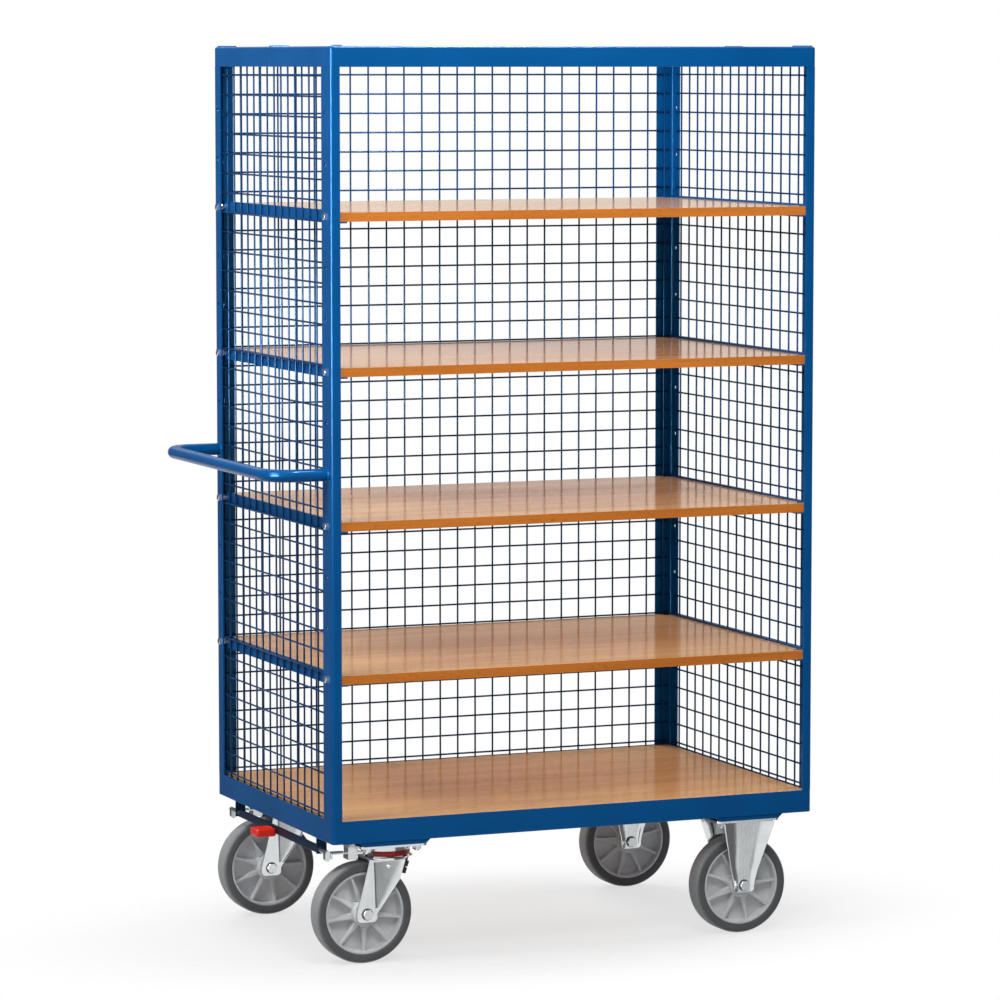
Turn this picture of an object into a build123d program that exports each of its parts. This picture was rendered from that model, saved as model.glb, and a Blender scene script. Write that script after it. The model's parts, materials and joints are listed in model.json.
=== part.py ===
from build123d import *
import os
from math import cos, radians, sin, sqrt, tan

os.makedirs("parts", exist_ok=True)

# Frame, millimetres: handle towards -X, open front towards -Y, floor at Z = 0
frame_length = 1040.0
frame_width = 680.0
frame_bottom = 247.0
frame_height = 1550.0
rail_thickness = 3.0
rail_bend_radius = 8.0
base_rail_height = 45.0
base_ledge_width = 40.0
top_rail_height = 40.0
top_flange_width = 40.0
weld_width = 8.0
weld_height = 2.5
mitre_weld_shift = 1.0

# Corner posts
post_thickness = 3.0
post_bend_radius = 7.0
front_post_side_leg = 50.0
front_post_face_leg = 20.0
rear_post_side_leg = 35.0
rear_post_face_leg = 40.0
post_hole_diameter = 9.0
post_hole_pitch = 100.0
post_hole_count = 12
front_hole_inset = 30.0
rear_hole_inset = 20.0

# Welded wire mesh on three sides
mesh_pitch = 40.0
mesh_wire = 3.5
mesh_layer_gap = 0.1
mesh_first_row = 57.0
mesh_end_gap = 6.0
rear_mesh_shift = -4.0
rear_mesh_tuck = 29.0
side_mesh_front_tuck = 10.0
side_mesh_rear_tuck = 7.0
mesh_top_tuck = 10.0
mesh_bottom_tuck = 12.0

# Deck and shelves
board_thickness = 18.0
board_gap = 1.0
deck_front_gap = 0.5
shelf_count = 4
shelf_first_height = 560.0
shelf_holes_apart = 3
shelf_front_gap = 1.0
edge_band_thickness = 1.0
nut_notch_width = 26.0
nut_notch_depth = 16.0

# Shelf bearers and their fasteners
bearer_leg = 25.0
bearer_thickness = 3.0
bearer_mesh_gap = 0.5
bearer_bolt_rise = 9.5
shelf_bolt_diameter = 8.0
shelf_bolt_head = 13.0
shelf_bolt_head_height = 5.3
shelf_nut_height = 6.5
spacer_diameter = 14.0
bolt_clearance = 0.5

# Push handle
handle_diameter = 25.0
handle_wall = 2.0
handle_reach = 113.0
handle_height = 970.0
handle_bend_radius = 50.0
handle_front_inset = 28.0
handle_rear_inset = 19.0

# Crossbeams that carry the casters
beam_web_width = 130.0
beam_depth = 33.0
beam_lip = 16.0
beam_thickness = 3.0
swivel_end_inset = 132.0
fixed_end_inset = 138.0
caster_side_inset = 62.0

# Caster plates, forks and fasteners
plate_length = 140.0
plate_width = 110.0
plate_thickness = 5.0
plate_corner_radius = 8.0
plate_hole_length = 105.0
plate_hole_width = 80.0
plate_hole_diameter = 11.0
caster_bolt_diameter = 10.0
caster_bolt_head = 17.0
caster_bolt_head_height = 6.4
caster_nut_height = 8.0
caster_thread_end = 3.0
fork_thickness = 4.0
fork_gap = 62.0
fork_bend_radius = 7.0
fork_foot_width = 42.0
fork_foot_drop = 21.0
fork_foot_radius = 9.0
fixed_fork_top_width = 112.0
fixed_fork_lip = 6.0
fixed_fork_lip_thickness = 3.0
fixed_fork_splay_rise = 30.0

# Swivel heads
swivel_offset = 50.0
cup_radius = 51.0
cup_height = 8.0
cup_bore_radius = 20.0
lock_ring_radius = 50.0
lock_ring_wall = 3.5
lock_ring_height = 11.0
lock_ring_window = 80.0
race_radius = 35.5
race_bore_radius = 12.0
crown_drop = 23.0
crown_radius = 46.0
fork_top_back = 44.0
fork_top_front = 30.0
fork_waist_front = 19.0
fork_waist_drop = 44.0
kingpin_radius = 8.0
kingpin_head_radius = 16.0
kingpin_head_height = 5.5
kingpin_rivet_radius = 13.0
kingpin_rivet_height = 5.0
rivet_clearance = 2.0
swivel_gap = 0.3
running_gap = 0.05
adjuster_reach = 48.0
adjuster_tilt = 18.0
adjuster_tab_width = 20.0
adjuster_stud_radius = 4.0
adjuster_knob = 15.0
adjuster_knob_height = 12.0
adjuster_knob_step = 14.0
adjuster_length = 38.0
adjuster_end = 3.0

# Wheels
wheel_diameter = 200.0
tyre_width = 46.0
tyre_thickness = 18.0
tyre_edge_radius = 9.0
rim_width = 42.0
rim_wall = 5.0
rim_web = 8.0
rim_rib_count = 9
rib_inner_width = 14.0
rib_outer_width = 6.0
rib_recess = 3.0
rib_root = 2.0
rib_turns = {"front_left": 0.0, "rear_left": 12.0, "front_right": 12.0, "rear_right": -16.0}
hub_radius = 28.0
hub_length = 56.0
hub_bore_radius = 8.0
bearing_radius = 16.0
bearing_width = 10.0
axle_diameter = 12.0
axle_head = 19.0
axle_head_height = 7.5
axle_nut_height = 10.0
collar_radius = 10.0

# Central brake
brake_shaft_inset = 10.0
brake_shaft_drop = 25.0
brake_shaft_radius = 5.0
brake_bar_height = 16.0
brake_bar_thickness = 6.0
brake_bar_end_inset = 104.0
brake_stub_end = 2.0
brake_bracket_thickness = 4.0
brake_bracket_width = 21.0
brake_bracket_gap = 4.0
brake_finger_length = 12.0
brake_finger_breadth = 12.0
brake_slide_breadth = 24.0
brake_slide_thickness = 3.0
brake_slide_lead = 2.0
brake_tab_depth = 12.0
guide_wall = 2.0
guide_length = 20.0
guide_overhang = 12.0
guide_floor = 12.0
pedal_length = 42.0
pedal_breadth = 42.0
pedal_height = 17.0
pedal_radius = 6.0
pedal_drop = 4.0
pedal_shift = 24.0

# Places worked out from the sizes above
handle_out = handle_reach + handle_diameter / 2
left_face = (handle_out - frame_length - shelf_bolt_head_height) / 2
right_face = left_face + frame_length
frame_x = (left_face + right_face) / 2
front_face = -frame_width / 2
rear_face = frame_width / 2
frame_top = frame_bottom + frame_height
deck_top = frame_bottom + base_rail_height
ledge_top = deck_top - board_thickness
ledge_bottom = ledge_top - rail_thickness
post_top = frame_top - top_rail_height
first_hole = shelf_first_height + bearer_bolt_rise
shelf_pitch = shelf_holes_apart * post_hole_pitch
shelf_heights = [shelf_first_height + shelf_pitch * k for k in range(shelf_count)]
hole_heights = [first_hole + post_hole_pitch * k for k in range(post_hole_count)]
axle_height = wheel_diameter / 2
beam_bottom = ledge_bottom - beam_depth
plate_bottom = beam_bottom - plate_thickness
swivel_x = left_face + swivel_end_inset
fixed_x = right_face - fixed_end_inset
front_wheel_y = front_face + caster_side_inset
rear_wheel_y = rear_face - caster_side_inset
caster_sides = {"front": front_wheel_y, "rear": rear_wheel_y}
frame_ends = ((left_face, 1), (right_face, -1))
mesh_depth = 2 * mesh_wire + mesh_layer_gap
bearer_out = post_thickness + mesh_depth + bearer_mesh_gap
front_bolt_y = front_face + front_hole_inset
rear_bolt_y = rear_face - rear_hole_inset
crown_top = plate_bottom - crown_drop
crown_bottom = crown_top - fork_thickness
cup_bottom = plate_bottom - cup_height
fork_half = fork_gap / 2 + fork_thickness
brake_x = left_face + brake_shaft_inset
brake_z = frame_bottom - brake_shaft_drop
brake_finger_width = 2 * brake_shaft_radius


# Write one named piece
def keep(piece, name):
    piece.part.label = name
    export_step(piece.part, f"parts/{name}.step")


# Plane whose normal points along X at one point, for drilling and bolts across the frame
def across(x, y, z, direction=1):
    return Plane(origin=(x, y, z), x_dir=(0, 1, 0), z_dir=(direction, 0, 0))


# Plane whose normal points along Y at one point, for axles and side outlines
def along_axle(x, y, z, direction=1):
    return Plane(origin=(x, y, z), x_dir=(1, 0, 0), z_dir=(0, direction, 0))


# Closed ring of bent rail: an upright flange and a level flange, cut in halves at the ends
def rail_half(name, bottom, height, level_bottom, level_width, side):
    with BuildPart() as rail:
        with BuildSketch(Plane.XY.offset(bottom)):
            with Locations((frame_x, 0)):
                RectangleRounded(frame_length, frame_width, rail_bend_radius)
                RectangleRounded(frame_length - 2 * rail_thickness, frame_width - 2 * rail_thickness,
                                 rail_bend_radius - rail_thickness, mode=Mode.SUBTRACT)
        extrude(amount=height)
        with BuildSketch(Plane.XY.offset(level_bottom)):
            with Locations((frame_x, 0)):
                RectangleRounded(frame_length - rail_thickness, frame_width - rail_thickness,
                                 rail_bend_radius - rail_thickness / 2)
                Rectangle(frame_length - 2 * level_width, frame_width - 2 * level_width,
                          mode=Mode.SUBTRACT)
        extrude(amount=rail_thickness)
        split(bisect_by=Plane.XZ, keep=Keep.TOP if side == "front" else Keep.BOTTOM)
    keep(rail, name)


for side in ("front", "rear"):
    rail_half(f"base_frame_{side}", frame_bottom, base_rail_height, ledge_bottom,
              base_ledge_width, side)
    rail_half(f"top_frame_{side}", post_top, top_rail_height, frame_top - rail_thickness,
              top_flange_width, side)


# Weld beads on the top flange: mitres at the corners, butt welds at the middle of the ends
def bead(x, y, turn, length):
    bead_plane = Plane(origin=(x, y, frame_top), x_dir=(-sin(radians(turn)), cos(radians(turn)), 0),
                       z_dir=(cos(radians(turn)), sin(radians(turn)), 0))
    with BuildSketch(bead_plane) as bead_section:
        with BuildLine():
            ThreePointArc((-weld_width / 2, 0), (0, weld_height), (weld_width / 2, 0))
            Line((weld_width / 2, 0), (-weld_width / 2, 0))
        make_face()
    extrude(bead_section.sketch, amount=length / 2, both=True)


with BuildPart() as frame_welds:
    flange_middle = top_flange_width / 2
    mitre_middle = flange_middle + mitre_weld_shift
    mitre_length = top_flange_width * sqrt(2) - weld_width - rail_bend_radius
    for end_x, inward_x in frame_ends:
        bead(end_x + inward_x * flange_middle, 0, 0, top_flange_width)
        for end_y, inward_y in ((front_face, 1), (rear_face, -1)):
            bead(end_x + inward_x * mitre_middle, end_y + inward_y * mitre_middle,
                 45 * inward_x * inward_y, mitre_length)
keep(frame_welds, "frame_welds")


# Corner post: bent angle with a row of holes in its side leg
def corner_post(name, x, y, into_x, into_y, face_leg, side_leg, hole_y):
    t = post_thickness
    with BuildPart() as post:
        with BuildSketch(Plane((x, y, deck_top))) as profile:
            with BuildLine():
                Polyline((0, 0), (into_x * face_leg, 0), (into_x * face_leg, into_y * t),
                         (into_x * t, into_y * t), (into_x * t, into_y * side_leg),
                         (0, into_y * side_leg), close=True)
            make_face()
            corners = profile.vertices()
            fillet(corners.sort_by_distance((0, 0, 0))[0], post_bend_radius)
            inner_corner = profile.vertices().sort_by_distance((into_x * t, into_y * t, 0))[0]
            fillet(inner_corner, post_bend_radius - t)
        extrude(amount=post_top - deck_top)
        handle_cover = (handle_diameter + post_hole_diameter) / 2
        open_heights = [h for h in hole_heights if x != left_face or abs(h - handle_height) > handle_cover]
        with BuildSketch(across(x, hole_y, 0, into_x)):
            with Locations(*[(0, into_x * h) for h in open_heights]):
                Circle(post_hole_diameter / 2)
        extrude(amount=t, mode=Mode.SUBTRACT)
    keep(post, name)


for end, end_x, inward_x in (("left", left_face, 1), ("right", right_face, -1)):
    corner_post(f"front_{end}_post", end_x, front_face, inward_x, 1,
                front_post_face_leg, front_post_side_leg, front_bolt_y)
    corner_post(f"rear_{end}_post", end_x, rear_face, inward_x, -1,
                rear_post_face_leg, rear_post_side_leg, rear_bolt_y)


# One panel of welded mesh: level wires against the posts, upright wires laid across them
def mesh_panel(name, plane, columns, rows, low, high):
    with BuildPart() as panel:
        with BuildSketch(plane):
            with Locations(*[((low[0] + high[0]) / 2, v) for v in rows]):
                Rectangle(high[0] - low[0], mesh_wire)
        extrude(amount=mesh_wire)
        with BuildSketch(plane.offset(mesh_wire + mesh_layer_gap)):
            with Locations(*[(u, (low[1] + high[1]) / 2) for u in columns]):
                Rectangle(mesh_wire, high[1] - low[1])
        extrude(amount=mesh_wire)
    keep(panel, name)


mesh_low = deck_top - mesh_bottom_tuck
mesh_high = post_top + mesh_top_tuck
side_low = front_face + front_post_side_leg - side_mesh_front_tuck
side_high = rear_face - rear_post_side_leg + side_mesh_rear_tuck
rear_reach = frame_length / 2 - rear_post_face_leg + rear_mesh_tuck
top_row = frame_top - mesh_first_row
rows_below = int((top_row - deck_top - mesh_end_gap) // mesh_pitch)
mesh_row_heights = [top_row - mesh_pitch * k for k in range(rows_below, -1, -1)]
side_half = int((min(-side_low, side_high) - mesh_end_gap) // mesh_pitch)
side_columns = [mesh_pitch * k for k in range(-side_half, side_half + 1)]
rear_steps = int(2 * (rear_reach - mesh_end_gap) // mesh_pitch)
rear_columns = [rear_mesh_shift + mesh_pitch * (k - rear_steps / 2) for k in range(rear_steps + 1)]
for name, face_x, direction in (("left_mesh_panel", left_face + post_thickness, 1),
                                ("right_mesh_panel", right_face - post_thickness, -1)):
    side_plane = Plane(origin=(face_x, 0, 0), x_dir=(0, direction, 0), z_dir=(direction, 0, 0))
    span = (side_low, side_high) if direction == 1 else (-side_high, -side_low)
    mesh_panel(name, side_plane, side_columns, mesh_row_heights, (span[0], mesh_low), (span[1], mesh_high))
rear_plane = along_axle(frame_x, rear_face - post_thickness, 0, -1)
mesh_panel("rear_mesh_panel", rear_plane, rear_columns, mesh_row_heights,
           (-rear_reach, mesh_low), (rear_reach, mesh_high))

# Push handle: one bent tube welded to the side legs of the two left posts
with BuildPart() as push_handle:
    front_arm = front_face + handle_front_inset
    rear_arm = rear_face - handle_rear_inset
    bar_x = left_face - handle_reach
    with BuildLine() as handle_path:
        FilletPolyline((left_face, front_arm, handle_height), (bar_x, front_arm, handle_height),
                       (bar_x, rear_arm, handle_height), (left_face, rear_arm, handle_height),
                       radius=handle_bend_radius)
    with BuildSketch(across(left_face, front_arm, handle_height, -1)):
        Circle(handle_diameter / 2)
        Circle(handle_diameter / 2 - handle_wall, mode=Mode.SUBTRACT)
    sweep()
keep(push_handle, "push_handle")

# Deck board: lies on the ledge of the base frame, clear of the mesh on three sides
deck_inset = post_thickness + mesh_depth + board_gap
deck_front = front_face + rail_thickness + deck_front_gap
deck_rear = rear_face - deck_inset
with BuildPart() as deck_board:
    with BuildSketch(Plane.XY.offset(ledge_top)):
        with Locations((frame_x, (deck_front + deck_rear) / 2)):
            Rectangle(frame_length - 2 * deck_inset, deck_rear - deck_front)
    extrude(amount=board_thickness)
keep(deck_board, "deck_board")

# Shelf boards: notched at the ends to clear the nuts of the bearers
shelf_end = bearer_out + bearer_thickness + board_gap
band_front = front_face + post_thickness + shelf_front_gap
shelf_front = band_front + edge_band_thickness
shelf_rear = rear_face - deck_inset
for number, height in enumerate(shelf_heights, start=1):
    with BuildPart() as shelf:
        with BuildSketch(Plane.XY.offset(height)):
            with Locations((frame_x, (shelf_front + shelf_rear) / 2)):
                Rectangle(frame_length - 2 * shelf_end, shelf_rear - shelf_front)
            for end_x in (left_face + shelf_end, right_face - shelf_end):
                with Locations((end_x, front_bolt_y), (end_x, rear_bolt_y)):
                    Rectangle(2 * nut_notch_depth, nut_notch_width, mode=Mode.SUBTRACT)
        extrude(amount=board_thickness)
    keep(shelf, f"shelf_{number}")

# Edge bands on the open front of the shelves
with BuildPart() as shelf_edge_bands:
    for height in shelf_heights:
        with BuildSketch(Plane.XY.offset(height)):
            with Locations((frame_x, band_front + edge_band_thickness / 2)):
                Rectangle(frame_length - 2 * shelf_end, edge_band_thickness)
        extrude(amount=board_thickness)
keep(shelf_edge_bands, "shelf_edge_bands")

# Shelf bearers: angles inside the mesh, bolted to the posts through spacers
bearer_front = band_front
bearer_rear = rear_face - deck_inset
bolt_line = [(y, height + bearer_bolt_rise) for y in (front_bolt_y, rear_bolt_y)
             for height in shelf_heights]
bolt_hole = shelf_bolt_diameter / 2 + bolt_clearance
for end, end_x, inward in (("left", left_face, 1), ("right", right_face, -1)):
    outer_x = end_x + inward * bearer_out
    with BuildPart() as bearers:
        for height in shelf_heights:
            low = height - bearer_thickness
            with BuildSketch(along_axle(0, bearer_front, 0, -1)):
                with BuildLine():
                    Polyline((outer_x, low), (outer_x + inward * bearer_leg, low),
                             (outer_x + inward * bearer_leg, height),
                             (outer_x + inward * bearer_thickness, height),
                             (outer_x + inward * bearer_thickness, low + bearer_leg),
                             (outer_x, low + bearer_leg), close=True)
                make_face()
            extrude(amount=bearer_front - bearer_rear)
        with BuildSketch(across(outer_x, 0, 0, inward)):
            with Locations(*[(y, inward * z) for y, z in bolt_line]):
                Circle(bolt_hole)
        extrude(amount=bearer_thickness, mode=Mode.SUBTRACT)
    keep(bearers, f"{end}_shelf_bearers")

# Shelf bolts, spacers and nuts, four to a shelf
shelf_bolt_length = bearer_out + bearer_thickness + shelf_nut_height + bolt_clearance
with BuildPart() as shelf_bolts:
    for end_x, inward in frame_ends:
        with BuildSketch(across(end_x, 0, 0, -inward)):
            with Locations(*[(y, -inward * z) for y, z in bolt_line]):
                RegularPolygon(shelf_bolt_head / 2, 6, major_radius=False)
        extrude(amount=shelf_bolt_head_height)
        with BuildSketch(across(end_x, 0, 0, inward)):
            with Locations(*[(y, inward * z) for y, z in bolt_line]):
                Circle(shelf_bolt_diameter / 2)
        extrude(amount=shelf_bolt_length)
keep(shelf_bolts, "shelf_bolts")

with BuildPart() as shelf_spacers:
    for end_x, inward in frame_ends:
        with BuildSketch(across(end_x + inward * post_thickness, 0, 0, inward)):
            with Locations(*[(y, inward * z) for y, z in bolt_line]):
                Circle(spacer_diameter / 2)
                Circle(bolt_hole, mode=Mode.SUBTRACT)
        extrude(amount=bearer_out - post_thickness)
keep(shelf_spacers, "shelf_spacers")

with BuildPart() as shelf_nuts:
    for end_x, inward in frame_ends:
        with BuildSketch(across(end_x + inward * (bearer_out + bearer_thickness), 0, 0, inward)):
            with Locations(*[(y, inward * z) for y, z in bolt_line]):
                RegularPolygon(shelf_bolt_head / 2, 6, major_radius=False)
                Circle(shelf_bolt_diameter / 2 + running_gap, mode=Mode.SUBTRACT)
        extrude(amount=shelf_nut_height)
keep(shelf_nuts, "shelf_nuts")

# Crossbeams: folded troughs with closed ends, welded under the ledge, drilled for the casters
slope_shift = beam_thickness * tan(radians(22.5))
beam_half = beam_web_width / 2
beam_shoulder = beam_half + beam_depth
beam_outline = [(beam_half, 0), (beam_shoulder - slope_shift, beam_depth - beam_thickness),
                (beam_shoulder + beam_lip, beam_depth - beam_thickness),
                (beam_shoulder + beam_lip, beam_depth), (beam_shoulder - 2 * slope_shift, beam_depth),
                (beam_half - slope_shift, beam_thickness)]
plate_holes = [(dx, dy) for dx in (-plate_hole_length / 2, plate_hole_length / 2)
               for dy in (-plate_hole_width / 2, plate_hole_width / 2)]
beam_length = frame_width - 2 * rail_thickness
for end, beam_x in (("left", swivel_x), ("right", fixed_x)):
    with BuildPart() as crossbeam:
        with BuildSketch(along_axle(beam_x, beam_length / 2, beam_bottom, -1)):
            with BuildLine():
                Polyline(beam_outline + [(-x, z) for x, z in reversed(beam_outline)], close=True)
            make_face()
        extrude(amount=beam_length)
        for end_y in (beam_length / 2, beam_thickness - beam_length / 2):
            with BuildSketch(along_axle(beam_x, end_y, beam_bottom, -1)):
                with BuildLine():
                    Polyline(beam_outline[:2] + [(-x, z) for x, z in reversed(beam_outline[:2])], close=True)
                make_face()
            extrude(amount=beam_thickness)
        for wheel_y in caster_sides.values():
            with BuildSketch(Plane.XY.offset(beam_bottom)):
                with Locations(*[(beam_x + dx, wheel_y + dy) for dx, dy in plate_holes]):
                    Circle(plate_hole_diameter / 2)
                if end == "left":
                    with Locations((beam_x, wheel_y)):
                        Circle(kingpin_rivet_radius + rivet_clearance)
            extrude(amount=beam_thickness, mode=Mode.SUBTRACT)
    keep(crossbeam, f"{end}_crossbeam")

# Caster fasteners: hexagon bolts from the troughs with nuts under the plates
caster_holes = [(x + dx, y + dy) for x in (swivel_x, fixed_x) for y in caster_sides.values()
                for dx, dy in plate_holes]
grip = plate_thickness + beam_thickness
with BuildPart() as caster_bolts:
    with BuildSketch(Plane.XY.offset(plate_bottom + grip)):
        with Locations(*caster_holes):
            RegularPolygon(caster_bolt_head / 2, 6, major_radius=False)
    extrude(amount=caster_bolt_head_height)
    thread = caster_nut_height + caster_thread_end
    with BuildSketch(Plane.XY.offset(plate_bottom - thread)):
        with Locations(*caster_holes):
            Circle(caster_bolt_diameter / 2)
    extrude(amount=thread + grip)
keep(caster_bolts, "caster_bolts")

with BuildPart() as caster_nuts:
    with BuildSketch(Plane.XY.offset(plate_bottom - caster_nut_height)):
        with Locations(*caster_holes):
            RegularPolygon(caster_bolt_head / 2, 6, major_radius=False)
            Circle(caster_bolt_diameter / 2 + running_gap, mode=Mode.SUBTRACT)
    extrude(amount=caster_nut_height)
keep(caster_nuts, "caster_nuts")


# Four-hole caster plate at one place, as a sketch for the plate and the fixed fork
def plate_sketch(x, y):
    with BuildSketch(Plane.XY.offset(plate_bottom)) as plate:
        with Locations((x, y)):
            RectangleRounded(plate_length, plate_width, plate_corner_radius)
        with Locations(*[(x + dx, y + dy) for dx, dy in plate_holes]):
            Circle(plate_hole_diameter / 2, mode=Mode.SUBTRACT)
    return plate.sketch


# Pressed U across the wheel: outer and inner bends, from the foot up to the crown
def fork_channel(x, y, top, depth_back, depth_front):
    foot = axle_height - fork_foot_drop
    inner = fork_gap / 2
    with BuildSketch(across(x - depth_back, y, 0)) as channel:
        with BuildLine():
            Polyline((-fork_half, foot), (-fork_half, top), (fork_half, top), (fork_half, foot),
                     (inner, foot), (inner, top - fork_thickness), (-inner, top - fork_thickness),
                     (-inner, foot), close=True)
        make_face()
        for u in (-1, 1):
            outer_bend = channel.vertices().sort_by_distance((u * fork_half, top, 0))[0]
            fillet(outer_bend, fork_bend_radius)
            inner_bend = channel.vertices().sort_by_distance((u * inner, top - fork_thickness, 0))[0]
            fillet(inner_bend, fork_bend_radius - fork_thickness)
    extrude(channel.sketch, amount=depth_back + depth_front)


# Side view of a fork, kept from the channel, with rounded feet
def fork_outline(x, y, axle_x, points):
    foot = axle_height - fork_foot_drop
    half = fork_foot_width / 2
    with BuildSketch(along_axle(x, y, 0, -1)) as outline:
        with BuildLine():
            Polyline([(axle_x + half, foot), (axle_x - half, foot)] + points, close=True)
        make_face()
        for u in (axle_x - half, axle_x + half):
            fillet(outline.vertices().sort_by_distance((u, foot, 0))[0], fork_foot_radius)
    extrude(outline.sketch, amount=plate_width, both=True, mode=Mode.INTERSECT)


# Fixed casters at the far end: plate, splayed legs and turned-out lips in one weldment
fixed_half = fixed_fork_top_width / 2
foot_half = fork_foot_width / 2
foot_height = axle_height - fork_foot_drop
splay_height = axle_height + fixed_fork_splay_rise


# Both legs seen along X, given their inner and outer faces at the foot
def splayed_legs(x, y, outer):
    top_inner = plate_width / 2 - fork_thickness
    top_outer = top_inner + outer - fork_gap / 2
    with BuildSketch(across(x, y, 0)) as legs:
        for u in (-1, 1):
            with BuildLine():
                Polyline((u * fork_gap / 2, foot_height), (u * outer, foot_height),
                         (u * outer, splay_height), (u * top_outer, plate_bottom),
                         (u * top_inner, plate_bottom), (u * fork_gap / 2, splay_height), close=True)
            make_face()
    return legs.sketch


for side, wheel_y in caster_sides.items():
    with BuildPart() as fork_legs:
        extrude(splayed_legs(fixed_x, wheel_y, fork_half), amount=fixed_half, both=True)
        fork_outline(fixed_x, wheel_y, 0, [(-foot_half, axle_height), (-fixed_half, plate_bottom),
                                           (fixed_half, plate_bottom), (foot_half, axle_height)])
    with BuildPart() as fork_lips:
        extrude(splayed_legs(fixed_x, wheel_y, fork_half + fixed_fork_lip), amount=fixed_half, both=True)
        with BuildSketch(along_axle(fixed_x, wheel_y, 0, -1)):
            for u in (-1, 1):
                with BuildLine():
                    Polyline((u * foot_half, axle_height), (u * fixed_half, plate_bottom),
                             (u * (fixed_half - fixed_fork_lip_thickness), plate_bottom),
                             (u * (foot_half - fixed_fork_lip_thickness), axle_height), close=True)
                make_face()
        extrude(amount=plate_width, both=True, mode=Mode.INTERSECT)
    with BuildPart() as fixed_fork:
        add(fork_legs.part)
        add(fork_lips.part)
        extrude(plate_sketch(fixed_x, wheel_y), amount=plate_thickness)
        with BuildSketch(along_axle(fixed_x, wheel_y, axle_height)):
            Circle(axle_diameter / 2 + running_gap)
        extrude(amount=fork_half, both=True, mode=Mode.SUBTRACT)
    keep(fixed_fork, f"{side}_fixed_fork")


# Axle set: hexagon bolt, nut and two collars that centre the hub in the fork
def axle_set(x, y):
    bolt_start = y - fork_half
    with BuildSketch(along_axle(x, bolt_start, axle_height, -1)) as head:
        RegularPolygon(axle_head / 2, 6, major_radius=False)
    extrude(head.sketch, amount=axle_head_height)
    with BuildSketch(along_axle(x, bolt_start, axle_height)) as shank:
        Circle(axle_diameter / 2)
    extrude(shank.sketch, amount=2 * fork_half + axle_nut_height + bolt_clearance)
    with BuildSketch(along_axle(x, y + fork_half, axle_height)) as nut:
        RegularPolygon(axle_head / 2, 6, major_radius=False)
        Circle(axle_diameter / 2 + running_gap, mode=Mode.SUBTRACT)
    extrude(nut.sketch, amount=axle_nut_height)
    collar_length = fork_gap / 2 - hub_length / 2 - swivel_gap
    for direction in (-1, 1):
        with BuildSketch(along_axle(x, y + direction * fork_gap / 2, axle_height, -direction)) as collar:
            Circle(collar_radius)
            Circle(axle_diameter / 2 + running_gap, mode=Mode.SUBTRACT)
        extrude(collar.sketch, amount=collar_length)


with BuildPart() as fixed_axles:
    for wheel_y in caster_sides.values():
        axle_set(fixed_x, wheel_y)
keep(fixed_axles, "fixed_axles")

# Swivel casters at the handle end: plate with bearing cup, and the lock ring round the head
for side, wheel_y in caster_sides.items():
    with BuildPart() as swivel_plate:
        extrude(plate_sketch(swivel_x, wheel_y), amount=plate_thickness)
        with BuildSketch(Plane.XY.offset(cup_bottom)):
            with Locations((swivel_x, wheel_y)):
                Circle(cup_radius)
                Circle(cup_bore_radius, mode=Mode.SUBTRACT)
        extrude(amount=cup_height)
        with BuildSketch(Plane.XY.offset(plate_bottom)):
            with Locations((swivel_x, wheel_y)):
                Circle(kingpin_radius + running_gap)
        extrude(amount=plate_thickness, mode=Mode.SUBTRACT)
    keep(swivel_plate, f"{side}_swivel_plate")

with BuildPart() as lock_rings:
    for wheel_y in caster_sides.values():
        with BuildSketch(Plane.XY.offset(cup_bottom - lock_ring_height)):
            with Locations((swivel_x, wheel_y)):
                Circle(lock_ring_radius)
                Circle(lock_ring_radius - lock_ring_wall, mode=Mode.SUBTRACT)
            window_reach = 2 * lock_ring_radius
            window_half = window_reach * tan(radians(lock_ring_window / 2))
            with BuildLine():
                Polyline((swivel_x, wheel_y), (swivel_x - window_reach, wheel_y - window_half),
                         (swivel_x - window_reach, wheel_y + window_half), close=True)
            make_face(mode=Mode.SUBTRACT)
        extrude(amount=lock_ring_height)
keep(lock_rings, "lock_rings")

# Kingpins: riveted over the plate, headed under the fork crown
with BuildPart() as kingpins:
    for wheel_y in caster_sides.values():
        head_top = crown_bottom - swivel_gap
        for start, radius, length in (
                (head_top - kingpin_head_height, kingpin_head_radius, kingpin_head_height),
                (head_top, kingpin_radius, plate_bottom + plate_thickness - head_top),
                (plate_bottom + plate_thickness, kingpin_rivet_radius, kingpin_rivet_height)):
            with BuildSketch(Plane.XY.offset(start)):
                with Locations((swivel_x, wheel_y)):
                    Circle(radius)
            extrude(amount=length)
keep(kingpins, "kingpins")

# Plane across the leaning stud of the brake adjuster, so far along it from its tab
def stud_plane(y, along):
    lean_x = sin(radians(adjuster_tilt))
    lean_z = cos(radians(adjuster_tilt))
    tab = (swivel_x + adjuster_reach, y, crown_bottom + fork_thickness / 2)
    return Plane(origin=tab, x_dir=(lean_z, 0, -lean_x), z_dir=(lean_x, 0, lean_z)).offset(along)


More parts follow.
